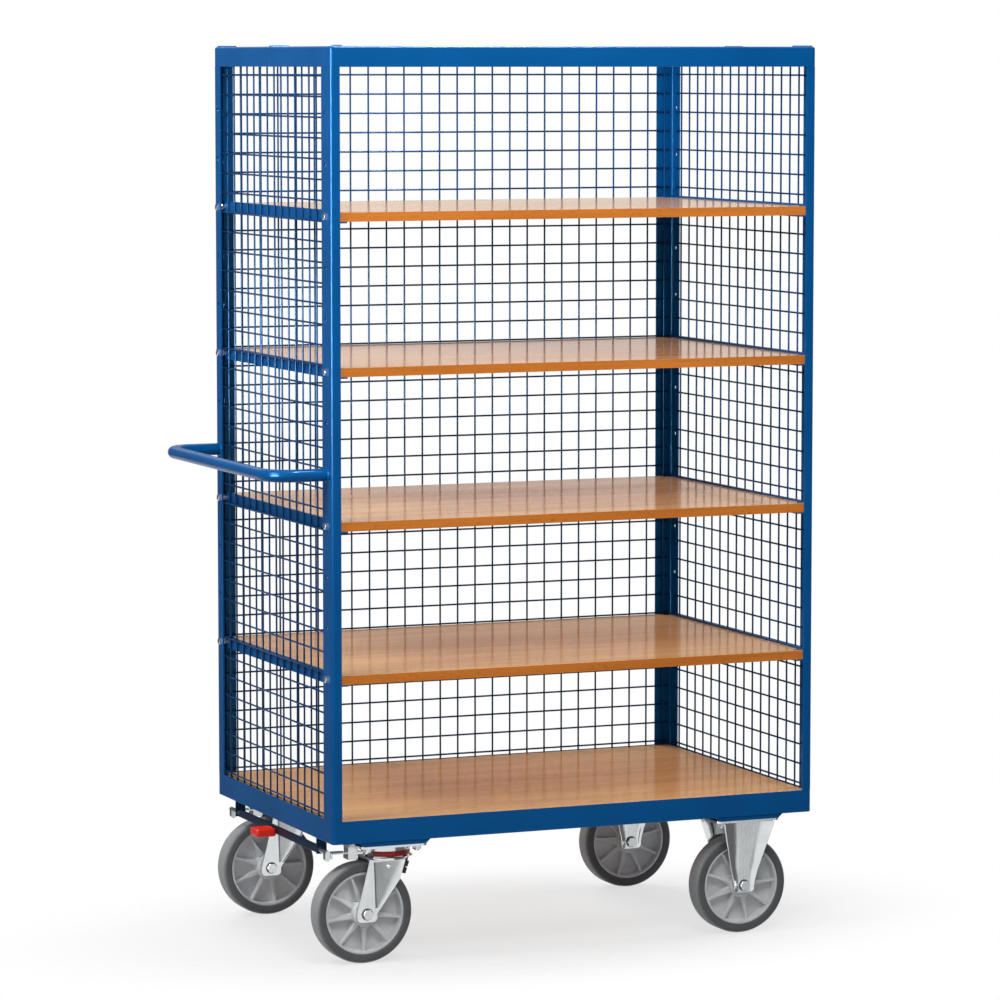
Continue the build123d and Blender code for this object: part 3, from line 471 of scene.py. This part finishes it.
def pressedSwivel(side):
    node = side + "_swivel_fork"
    wheelLow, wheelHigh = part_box(side + "_left_wheel_tyre")
    axle, top = (wheelLow + wheelHigh) / 2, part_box(node)[1].z
    fork = mergedCopy(node)
    editing(fork)
    pick(fork, "VERT", lambda p: p.z < axle.z - swivelPress["footFrom"] * mm)
    bpy.ops.transform.translate(value=(0, 0, swivelPress["footUp"] * mm))  # short foot under the axle
    bpy.ops.object.mode_set(mode="OBJECT")
    roundEdges(fork, swivelPress["edge"])
    pin = axle.x + swivelPress["trail"] * mm
    foldTop = Vector((pin + (swivelPress["bandTop"] - swivelPress["crownHalf"]) * mm, 0, top))
    foldFoot = Vector((axle.x + (swivelPress["bandFoot"] - swivelPress["footHalf"]) * mm, 0, axle.z))
    run = foldTop - foldFoot
    front = Vector((run.z, 0, -run.x)).normalized()
    rivets = []
    for out in (-1, 1):
        pressHollow(fork, axle, foldFoot, front, out)
        rivets.append(rivetAt((pin - legRivet["back"] * mm, axle.y + out * (legRivet["seat"] + legRivet["high"]) * mm,
                               top - legRivet["down"] * mm)))
    finishPiece(joined([fork] + rivets, node), node + "_pressed", forkZinc, side + "_swivel",
                [node], smooth=40, even=True)


for side in ("front", "rear"):
    pressedSwivel(side)
print("swivel forks made")


# Fixed forks: plate with two drawn legs whose edges are turned out
fixedPress = {"across": 16, "up": 14, "thick": 3.5, "edge": 0.9, "footHalf": 22.5, "topHalf": 56.0, "foot": 85.0,
              "straight": 100.0, "splay": 130.0, "lowOut": 35.0, "highOut": 55.0, "lowLip": 2.4, "highLip": 6.5,
              "lowTurn": 6.0, "highTurn": 22.0, "flatShare": 0.5, "lipCurve": 1.4, "footRound": 9.0, "plate": 5.0,
              "plateEdge": 1.0, "saw": 0.02}


def between(low, high, share):
    return fixedPress[low] + share * (fixedPress[high] - fixedPress[low])


def drawnLeg(middle, top, out):
    clearSelection()
    bpy.ops.mesh.primitive_grid_add(x_subdivisions=fixedPress["across"], y_subdivisions=fixedPress["up"], size=2)
    leg = bpy.context.object
    editing(leg)
    shape = bmesh.from_edit_mesh(leg.data)
    high = top / mm - fixedPress["plate"]
    flat, corners = fixedPress["flatShare"], fixedPress["footRound"]
    for point in shape.verts:
        u, v = point.co.x, (point.co.y + 1) / 2
        z = fixedPress["foot"] + v * (high - fixedPress["foot"])
        rise = max(0, z - fixedPress["straight"]) / (high - fixedPress["straight"])
        splay = max(0, z - fixedPress["splay"]) / (high - fixedPress["splay"])
        turn = between("lowTurn", "highTurn", v)
        edge = max(0, abs(u) - flat) / (1 - flat)  # 0 on the flat middle, 1 on the turned-out edge
        x = math.copysign(min(abs(u), flat) / flat * (between("footHalf", "topHalf", rise) - turn) + edge * turn, u)
        y = between("lowOut", "highOut", splay) + between("lowLip", "highLip", v) * edge ** fixedPress["lipCurve"]
        corner = min(max(0, abs(x) - fixedPress["footHalf"] + corners), corners)
        z += (corners - math.sqrt(corners ** 2 - corner ** 2)) * (1 - v) ** 3
        point.co = Vector((middle.x + x * mm, middle.y + out * y * mm, z * mm))
    bmesh.update_edit_mesh(leg.data)
    bpy.ops.mesh.select_all(action="SELECT")
    bpy.ops.mesh.normals_make_consistent(inside=False)
    if sum(1 if face.normal.y * out > 0 else -1 for face in shape.faces) <= 0:
        bpy.ops.mesh.flip_normals()
    bpy.ops.object.mode_set(mode="OBJECT")
    applied(leg, "SOLIDIFY", thickness=fixedPress["thick"] * mm, offset=-1)
    return roundEdges(leg, fixedPress["edge"])


def drawnFork(side):
    node = side + "_fixed_fork"
    low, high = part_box(node)
    middle = (low + high) / 2
    plate = mergedCopy(node)
    cutOff(plate, (0, 0, high.z - (fixedPress["plate"] - fixedPress["saw"]) * mm), (0, 0, -1))
    roundEdges(plate, fixedPress["plateEdge"])
    legs = [drawnLeg(middle, high.z, out) for out in (-1, 1)]
    finishPiece(joined([plate] + legs, node), node + "_drawn", forkZinc, "trolley", [node],
                smooth=40, even=True)


for side in ("front", "rear"):
    drawnFork(side)
print("fixed forks made")


# Dark washers under the heads and nuts of the axles, as painted shade: their dark ring stands in for the shade round
# each axle head
axleWasher = {"sides": 36, "outer": 12.0, "bore": 6.5, "thick": 1.2, "edge": 0.4, "face": 35.0}
wheelCarriers = {"front_left_wheel": "front_swivel", "rear_left_wheel": "rear_swivel",
                 "front_right_wheel": "trolley", "rear_right_wheel": "trolley"}
for wheel, body in wheelCarriers.items():
    wheelLow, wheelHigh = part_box(wheel + "_tyre")
    axle = (wheelLow + wheelHigh) / 2
    rings = []
    for out in (-1, 1):
        place = axle + Vector((0, out * (axleWasher["face"] + axleWasher["thick"] / 2) * mm, 0))
        ring = discAt(place, axleWasher["outer"] * mm, axleWasher["thick"] * mm, axleWasher["sides"])
        pick(ring, "FACE", lambda p, n: abs(n.y) > square)
        bpy.ops.mesh.inset(thickness=(axleWasher["outer"] - axleWasher["bore"]) * mm)
        bpy.ops.mesh.bridge_edge_loops()
        bpy.ops.object.mode_set(mode="OBJECT")
        rings.append(roundEdges(ring, axleWasher["edge"]))
    finishPiece(joined(rings, wheel + "_washers"), wheel + "_washers", shadeDarkSteel, body, even=True)
print("axle washers made")


# Welded mesh of round wires: level wires against the posts, upright wires inside them
wireMesh = {"diameter": 4.0, "sides": 10, "pitch": 40.0, "firstRow": 300.0, "rows": 37, "endRound": 0.6,
            "sheet": 3.0, "levelIn": 5.0, "uprightIn": 8.35, "rearColumns": 26, "sideColumns": 15, "rearShift": -4.0}


def wireRun(length, start, turn, count, step):
    clearSelection()
    radius = wireMesh["diameter"] / 2 * mm
    bpy.ops.mesh.primitive_cylinder_add(vertices=wireMesh["sides"], radius=radius, depth=length, location=(0, 0, 0))
    wire = bpy.context.object
    editing(wire)
    pick(wire, "EDGE", lambda a, b: min(abs(a.z), abs(b.z)) > length / 2 - tight)
    bpy.ops.mesh.bevel(offset=wireMesh["endRound"] * mm, segments=1)
    clearSelection()
    wire.rotation_euler = turn
    wire.location = start
    applied(settled(wire), "ARRAY", count=count, use_relative_offset=False, use_constant_offset=True,
            constant_offset_displace=step)
    return wire


def wirePanel(node):
    low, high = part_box(node)
    pitch, middle = wireMesh["pitch"] * mm, (low + high) / 2
    sheet, levelIn, uprightIn = (wireMesh[key] * mm for key in ("sheet", "levelIn", "uprightIn"))
    firstRow, rows, upwards = wireMesh["firstRow"] * mm, wireMesh["rows"], (0, 0, pitch)
    if node == "rear_mesh_panel":
        columns, face = wireMesh["rearColumns"], high.y + sheet
        firstColumn = middle.x + wireMesh["rearShift"] * mm - (columns - 1) / 2 * pitch
        level = wireRun(high.x - low.x, (middle.x, face - levelIn, firstRow), (0, quarter, 0), rows, upwards)
        upright = wireRun(high.z - low.z, (firstColumn, face - uprightIn, middle.z), (0, 0, 0), columns, (pitch, 0, 0))
    else:
        columns, inward = wireMesh["sideColumns"], 1 if node == "left_mesh_panel" else -1
        face = (low.x if inward > 0 else high.x) - inward * sheet
        firstColumn = -(columns - 1) / 2 * pitch
        level = wireRun(high.y - low.y, (face + inward * levelIn, middle.y, firstRow), (quarter, 0, 0), rows, upwards)
        upright = wireRun(high.z - low.z, (face + inward * uprightIn, firstColumn, middle.z), (0, 0, 0), columns,
                          (0, pitch, 0))
    finishPiece(joined([level, upright], node), node + "_wires", shadedWirePaint, "trolley", [node],
                smooth=40)


for node in ("left_mesh_panel", "right_mesh_panel", "rear_mesh_panel"):
    wirePanel(node)
print("mesh wires made")


# Push handle, one tube bent twice, with weld beads at the posts
handleTube = {"sides": 36, "bend": 50.0, "bendSteps": 14}
handleBead = {"around": 48, "sides": 10, "thick": 2.2, "out": 0.6, "ripple": 0.35, "seed": 5}
low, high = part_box("push_handle")
tubeRadius, tubeHeight = (high.z - low.z) / 2, (high.z + low.z) / 2
frontArm, rearArm, barX, postX = low.y + tubeRadius, high.y - tubeRadius, low.x + tubeRadius, high.x
bend = handleTube["bend"] * mm


def bendTube(centreY):
    bpy.ops.mesh.spin(steps=handleTube["bendSteps"], angle=quarter, center=(barX + bend, centreY, tubeHeight),
                      axis=(0, 0, 1))


clearSelection()
bpy.ops.mesh.primitive_circle_add(vertices=handleTube["sides"], radius=tubeRadius,
                                  location=(postX, frontArm, tubeHeight), rotation=(0, quarter, 0))
handle = settled(bpy.context.object)
editing(handle)
bpy.ops.mesh.select_mode(type="EDGE")
bpy.ops.mesh.select_all(action="SELECT")
extrude((barX + bend - postX, 0, 0))
bendTube(frontArm + bend)
extrude((0, rearArm - frontArm - 2 * bend, 0))
bendTube(rearArm - bend)
extrude((postX - barX - bend, 0, 0))
bpy.ops.mesh.select_all(action="SELECT")
bpy.ops.mesh.remove_doubles(threshold=tight)
bpy.ops.mesh.fill_holes(sides=0)
bpy.ops.mesh.select_all(action="SELECT")
bpy.ops.mesh.normals_make_consistent(inside=False)
finishPiece(handle, "push_handle_tube", bluePaint, "trolley", ["push_handle"], smooth=40)
beads = []
for armY in (frontArm, rearArm):
    clearSelection()
    bpy.ops.mesh.primitive_torus_add(major_segments=handleBead["around"], minor_segments=handleBead["sides"],
                                     major_radius=tubeRadius + handleBead["out"] * mm,
                                     minor_radius=handleBead["thick"] * mm, location=(postX, armY, tubeHeight),
                                     rotation=(0, quarter, 0))
    bead = bpy.context.object
    editing(bead)
    bpy.ops.mesh.select_all(action="SELECT")
    bpy.ops.transform.vertex_random(offset=handleBead["ripple"] * mm, seed=handleBead["seed"])
    beads.append(bead)
finishPiece(joined(beads, "handle_welds"), "handle_welds", bluePaint, "trolley", smooth=60)
print("handle made")


# Wheels: soft tyre and ribbed rim, modelled once and copied
tyreShape = {"sides": 120, "shoulder": 8.0, "shoulderSteps": 5, "groove": 2.0, "grooveDeep": 1.2, "paleBandDeep": 4.0}
rimShape = {"sides": 120, "width": 42.0, "bore": 16.05, "lip": 5.0, "webHalf": 4.0, "webDraft": 0.97, "edge": 0.9,
            "hubRadius": 28.0, "hubDraft": 0.94, "hubRecess": 10.0}
ribShape = {"count": 9, "inner": 13.0, "outer": 6.5, "topIn": 19.0, "topOut": 17.0, "round": 1.2, "roundFrom": 10.0,
            "waistAt": 0.6, "waist": 0.55, "inHub": 3.0, "fromSeat": 2.0}
wheelTurns = {"front_left_wheel": 0.0, "rear_left_wheel": 12.0, "front_right_wheel": 12.0, "rear_right_wheel": -16.0}


def tyreAt(centre, radius, width, seat):
    shoulder, groove, paleBandDepth = (tyreShape[key] * mm for key in ("shoulder", "groove", "paleBandDeep"))
    tyre = discAt(centre, radius, width, tyreShape["sides"])
    pick(tyre, "EDGE", lambda a, b: abs(abs(a.y - centre.y) - width / 2) < tight and abs(a.y - b.y) < tight)
    bpy.ops.mesh.bevel(offset=shoulder, segments=tyreShape["shoulderSteps"], profile=0.5)
    pick(tyre, "FACE", lambda p, n: abs(n.y) > square)
    bpy.ops.mesh.inset(thickness=radius - shoulder - seat - groove)
    bpy.ops.mesh.inset(thickness=groove, depth=-tyreShape["grooveDeep"] * mm)
    bpy.ops.mesh.bridge_edge_loops()
    bpy.ops.object.mode_set(mode="OBJECT")
    # tread marks the paler band of the running surface, partly wear and partly painted light
    tread = tyre.data.attributes.new("tread", "FLOAT", "POINT")
    for point, mark in zip(tyre.data.vertices, tread.data):
        reach = math.hypot(point.co.x - centre.x, point.co.z - centre.z)
        mark.value = min(1.0, max(0.0, (reach - radius + paleBandDepth) / paleBandDepth))
    return tyre


def ribsAt(centre, start, end, side):
    clearSelection()
    bpy.ops.mesh.primitive_cube_add(size=1, location=(0, 0, 0))
    rib = bpy.context.object
    editing(rib)
    for point in bmesh.from_edit_mesh(rib.data).verts:
        out = point.co.z < 0
        across = ribShape["outer" if out else "inner"] / 2 * mm
        top = ribShape["topOut" if out else "topIn"] * mm
        point.co = centre + Vector((math.copysign(across, point.co.x), side * (top if point.co.y > 0 else 0),
                                    -(end if out else start)))
    bmesh.update_edit_mesh(rib.data)
    bpy.ops.mesh.select_all(action="SELECT")
    waistPlace = centre - Vector((0, 0, start + ribShape["waistAt"] * (end - start)))
    bpy.ops.mesh.bisect(plane_co=waistPlace, plane_no=(0, 0, 1))
    bpy.ops.transform.resize(value=(ribShape["waist"], 1, 1), center_override=waistPlace)
    pick(rib, "EDGE", lambda a, b: min((p.y - centre.y) * side for p in (a, b)) > ribShape["roundFrom"] * mm)
    bpy.ops.mesh.bevel(offset=ribShape["round"] * mm, segments=2)
    bpy.ops.mesh.select_all(action="SELECT")
    copies = ribShape["count"] - 1
    bpy.ops.mesh.spin(steps=copies, dupli=True, angle=2 * math.pi * copies / ribShape["count"], center=centre,
                      axis=(0, 1, 0))
    bpy.ops.mesh.select_all(action="SELECT")
    bpy.ops.mesh.normals_make_consistent(inside=False)
    bpy.ops.object.mode_set(mode="OBJECT")
    return rib


def rimAt(centre, seat, hubLength):
    width, bore, hub, lip, web = (rimShape[key] * mm for key in ("width", "bore", "hubRadius", "lip", "webHalf"))
    webDraft, hubDraft = rimShape["webDraft"], rimShape["hubDraft"]
    rim = discAt(centre, seat, width, rimShape["sides"])
    for side in (-1, 1):
        pick(rim, "FACE", lambda p, n: n.y * side > square and (p.y - centre.y) * side > width / 2 - 10 * tight)
        bpy.ops.mesh.inset(thickness=lip)
        extrude((0, -side * (width / 2 - web), 0))
        bpy.ops.transform.resize(value=(webDraft, 1, webDraft), center_override=centre + Vector((0, side * web, 0)))
        bpy.ops.mesh.inset(thickness=(seat - lip) * webDraft - hub)
        extrude((0, side * (hubLength / 2 - web), 0))
        bpy.ops.transform.resize(value=(hubDraft, 1, hubDraft),
                                 center_override=centre + Vector((0, side * hubLength / 2, 0)))
        bpy.ops.mesh.inset(thickness=hub * hubDraft - bore)
        extrude((0, -side * rimShape["hubRecess"] * mm, 0))
    bpy.ops.object.mode_set(mode="OBJECT")
    roundEdges(rim, rimShape["edge"], sharper=40)
    start, end = hub - ribShape["inHub"] * mm, seat - ribShape["fromSeat"] * mm
    return joined([rim] + [ribsAt(centre, start, end, side) for side in (-1, 1)], "wheel_rim")


firstCentre = None
for name, turn in wheelTurns.items():
    low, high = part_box(name + "_tyre")
    centre = (low + high) / 2
    if firstCentre is None:
        firstCentre = centre
        rimLow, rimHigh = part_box(name + "_rim")
        seat = (rimHigh.x - rimLow.x) / 2
        firstTyre = tyreAt(centre, (high.x - low.x) / 2, high.y - low.y, seat)
        firstRim = rimAt(centre, seat, rimHigh.y - rimLow.y)
    tyre = copyOf(firstTyre, name, centre - firstCentre)
    rim = copyOf(firstRim, name, centre - firstCentre)
    turned = Matrix.Rotation(-math.radians(turn), 4, "Y")
    rim.data.transform(Matrix.Translation(centre) @ turned @ Matrix.Translation(-centre))
    finishPiece(tyre, name + "_rubber", tyreRubber, name, [name + "_tyre"])
    finishPiece(rim, name + "_ribbed", rimPlastic, name, [name + "_rim"])
bpy.data.objects.remove(firstTyre)
bpy.data.objects.remove(firstRim)
print("wheels made")


# Shelf bolts with crowned hexagon heads; crown is the width and rise of each ring
boltShape = {"across": 13.0, "head": 5.3, "shank": 8.0, "reach": 20.6, "rows": 4,
             "crown": ((1.0, 1.0), (1.5, 0.35), (2.0, 0.15))}
low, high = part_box("shelf_bolts")
endFaces = ((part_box("front_left_post")[0].x, 1), (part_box("front_right_post")[1].x, -1))
headRim = (boltShape["head"] - sum(rise for _, rise in boltShape["crown"])) * mm
halfFlat, halfCorner = boltShape["across"] / 2 * mm, boltShape["across"] / math.sqrt(3) * mm
rowStep = (high.z - low.z - 2 * halfFlat) / (boltShape["rows"] - 1)
boltRows = [low.z + halfFlat + rowStep * k for k in range(boltShape["rows"])]
boltColumns = (low.y + halfCorner, high.y - halfCorner)
bolts = []
for faceX, inward in endFaces:
    clearSelection()
    bpy.ops.mesh.primitive_cylinder_add(vertices=6, radius=halfCorner, depth=headRim, rotation=(0, quarter, 0),
                                        location=(faceX - inward * headRim / 2, boltColumns[0], boltRows[0]))
    bolt = settled(bpy.context.object)
    editing(bolt)
    pick(bolt, "FACE", lambda p, n: -n.x * inward > square)
    for ring, rise in boltShape["crown"]:
        bpy.ops.mesh.inset(thickness=ring * mm, depth=rise * mm)
    pick(bolt, "FACE", lambda p, n: n.x * inward > square)
    bpy.ops.mesh.inset(thickness=(boltShape["across"] - boltShape["shank"]) / 2 * mm)
    extrude((inward * boltShape["reach"] * mm, 0, 0))
    bpy.ops.object.mode_set(mode="OBJECT")
    for y in boltColumns:
        for z in boltRows:
            bolts.append(copyOf(bolt, "bolt", Vector((0, y - boltColumns[0], z - boltRows[0]))))
    bpy.data.objects.remove(bolt)
finishPiece(joined(bolts, "shelf_bolts_hex"), "shelf_bolts_hex", zinc, "trolley", ["shelf_bolts"],
            smooth=43)
print("bolts made")


# Brake pedal: rounded red tread with a shallow hollow on top
pedalShape = {"edge": 4.0, "edgeSteps": 4, "frame": 6.0, "step": 2.0, "hollow": 2.0}
low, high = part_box("brake_pedal")
clearSelection()
bpy.ops.mesh.primitive_cube_add(size=1, location=(low + high) / 2, scale=high - low)
pedal = settled(bpy.context.object)
editing(pedal)
pick(pedal, "FACE", lambda p, n: n.z > square)
bpy.ops.mesh.inset(thickness=pedalShape["frame"] * mm)
bpy.ops.mesh.inset(thickness=pedalShape["step"] * mm, depth=-pedalShape["hollow"] * mm)
bpy.ops.object.mode_set(mode="OBJECT")
roundEdges(pedal, pedalShape["edge"], pedalShape["edgeSteps"], sharper=50)
finishPiece(pedal, "brake_pedal_tread", redPlastic, "brake_lever", ["brake_pedal"], smooth=35)
print("pedal made")


# Floor: matt paper that fades into the white surround
floorPaper = {"radius": 5.0, "sides": 96, "below": 0.5, "shadeReach": (0.75, 1.25, 1.0), "fade": (0.42, 0.85),
              "colour": "#c6c6c6", "glow": 0.66}


def softStep(tree, value, span, ends=(0.0, 1.0)):
    step = addNode(tree, "ShaderNodeMapRange", {"interpolation_type": "SMOOTHSTEP"},
                   {"From Min": span[0], "From Max": span[1]}, {"Value": value})
    for key, end in zip(("To Min", "To Max"), ends):
        if isinstance(end, float):
            step.inputs[key].default_value = end
        else:
            tree.links.new(end, step.inputs[key])
    return step.outputs["Result"]


def combined(tree, operation, first, second):
    return addNode(tree, "ShaderNodeMath", {"operation": operation}, links={0: first, 1: second}).outputs["Value"]


def blended(tree, factor, first, second):
    return addNode(tree, "ShaderNodeMixShader", links={"Fac": factor, 1: first, 2: second}).outputs["Shader"]


clearSelection()
bpy.ops.mesh.primitive_circle_add(vertices=floorPaper["sides"], radius=floorPaper["radius"], fill_type="NGON",
                                  location=(0, 0, -floorPaper["below"] * mm))
floor = bpy.context.object
floor.name = "studioFloor"
paperMaterial, tree, place = startMaterial("paleFloorPaper")
tree.nodes.remove(tree.nodes["Principled BSDF"])
oval = addNode(tree, "ShaderNodeMapping", values={"Scale": floorPaper["shadeReach"]}, links={"Vector": place})
away = addNode(tree, "ShaderNodeVectorMath", {"operation": "LENGTH"}, links={0: oval.outputs["Vector"]})
rays = addNode(tree, "ShaderNodeLightPath")
share = addNode(tree, "ShaderNodeMath", {"operation": "MULTIPLY"}, {1: floorPaper["glow"]},
                {0: rays.outputs["Is Camera Ray"]})
paper = addNode(tree, "ShaderNodeBsdfDiffuse", values={"Color": hexColour(floorPaper["colour"])}).outputs["BSDF"]
glow = addNode(tree, "ShaderNodeEmission").outputs["Emission"]
clear = addNode(tree, "ShaderNodeBsdfTransparent").outputs["BSDF"]
gone = combined(tree, "MAXIMUM", softStep(tree, away.outputs["Value"], floorPaper["fade"]),
                rays.outputs["Is Glossy Ray"])  # metal shows the surround
lit = blended(tree, share.outputs["Value"], paper, glow)
tree.links.new(blended(tree, gone, lit, clear), tree.nodes["Material Output"].inputs["Surface"])
floor.data.materials.append(paperMaterial)
print("floor made")


# Surround: white to the camera, even light for matt surfaces, soft bands for the mirror of glossy ones.
# Each band gives the span of the direction over which it changes, then the strength at both ends of it.
surround = {"front": ((0.38, 0.5), (0.95, 0.15)), "wall": ((0.055, 0.165), (0.75, 0.15)),
            "high": ((0.22, 0.34), (0.0, 0.9)), "left": ((-0.32, -0.2), (0.75, 0.1)),
            "ambient": ((0.3, 0.8), (0.36, 1.0)), "leftToRight": (-0.3, 0.25), "frontToBack": (-0.25, 0.35)}
world = bpy.data.worlds.new("studioWorld")
scene.world = world
world.use_nodes = True
tree = world.node_tree
rays = addNode(tree, "ShaderNodeLightPath").outputs
facing = addNode(tree, "ShaderNodeSeparateXYZ",
                 links={"Vector": addNode(tree, "ShaderNodeTexCoord").outputs["Generated"]}).outputs
wallBands = combined(tree, "ADD", softStep(tree, facing["Z"], *surround["wall"]),
                     softStep(tree, facing["Z"], *surround["high"]))
backGloss = softStep(tree, facing["X"], surround["leftToRight"],
                     (softStep(tree, facing["Z"], *surround["left"]), wallBands))
gloss = addNode(tree, "ShaderNodeMix", links={"Factor": softStep(tree, facing["Y"], surround["frontToBack"]),
                                              "A": softStep(tree, facing["X"], *surround["front"]), "B": backGloss})
ambient = addNode(tree, "ShaderNodeBackground", values={"Color": (1, 1, 1, 1)},
                  links={"Strength": softStep(tree, facing["Y"], *surround["ambient"])}).outputs["Background"]
mirrored = addNode(tree, "ShaderNodeBackground", values={"Color": (1, 1, 1, 1)},
                   links={"Strength": gloss.outputs["Result"]}).outputs["Background"]
white = tree.nodes["Background"]
white.inputs["Color"].default_value = (1, 1, 1, 1)
seen = combined(tree, "MAXIMUM", rays["Is Camera Ray"], rays["Is Transmission Ray"])
sky = blended(tree, seen, blended(tree, rays["Is Glossy Ray"], ambient, mirrored), white.outputs["Background"])
tree.links.new(sky, tree.nodes["World Output"].inputs["Surface"])
print("surround made")


# Lamps: place, target, size, power, whether it lights matt surfaces, whether glossy ones mirror it
softboxes = {"frontHigh": ((-0.4, -2.2, 2.9), (0.05, -0.34, 1.6), (1.0, 1.0), 50.0, True, False),
             "leftHigh": ((-2.3, -0.6, 2.8), (-0.45, 0.0, 1.6), (1.0, 1.0), 62.0, True, True),
             "topBank": ((0.2, 0.1, 3.9), (0.05, 0.0, 1.5), (2.0, 2.0), 14.0, True, True),
             "backLow": ((0.2, 3.6, 1.9), (0.05, 0.0, 0.9), (2.2, 1.6), 105.0, True, False),
             "rightFill": ((3.2, 0.5, 1.7), (0.5, 0.0, 1.0), (1.6, 1.6), 40.0, True, False),
             "leftStrip": ((-2.76, -1.3, 1.5), (-0.47, -0.34, 1.5), (1.2, 1.4), 320.0, False, True),
             "topStrip": ((0.6, -0.5, 4.2), (0.2, -0.3, 1.0), (2.4, 0.5), 260.0, False, True)}
for name, (spot, aim, size, power, lights, mirrors) in softboxes.items():
    lampData = bpy.data.lights.new(name, "AREA")
    lampData.shape = "RECTANGLE"
    lampData.size, lampData.size_y = size
    lampData.energy = power
    lamp = bpy.data.objects.new(name, lampData)
    lamp.location = spot
    lamp.rotation_euler = (Vector(aim) - Vector(spot)).to_track_quat("-Z", "Y").to_euler()
    lamp.visible_camera = False
    lamp.visible_diffuse = lights
    lamp.visible_glossy = mirrors
    scene.collection.objects.link(lamp)
print("studio set")
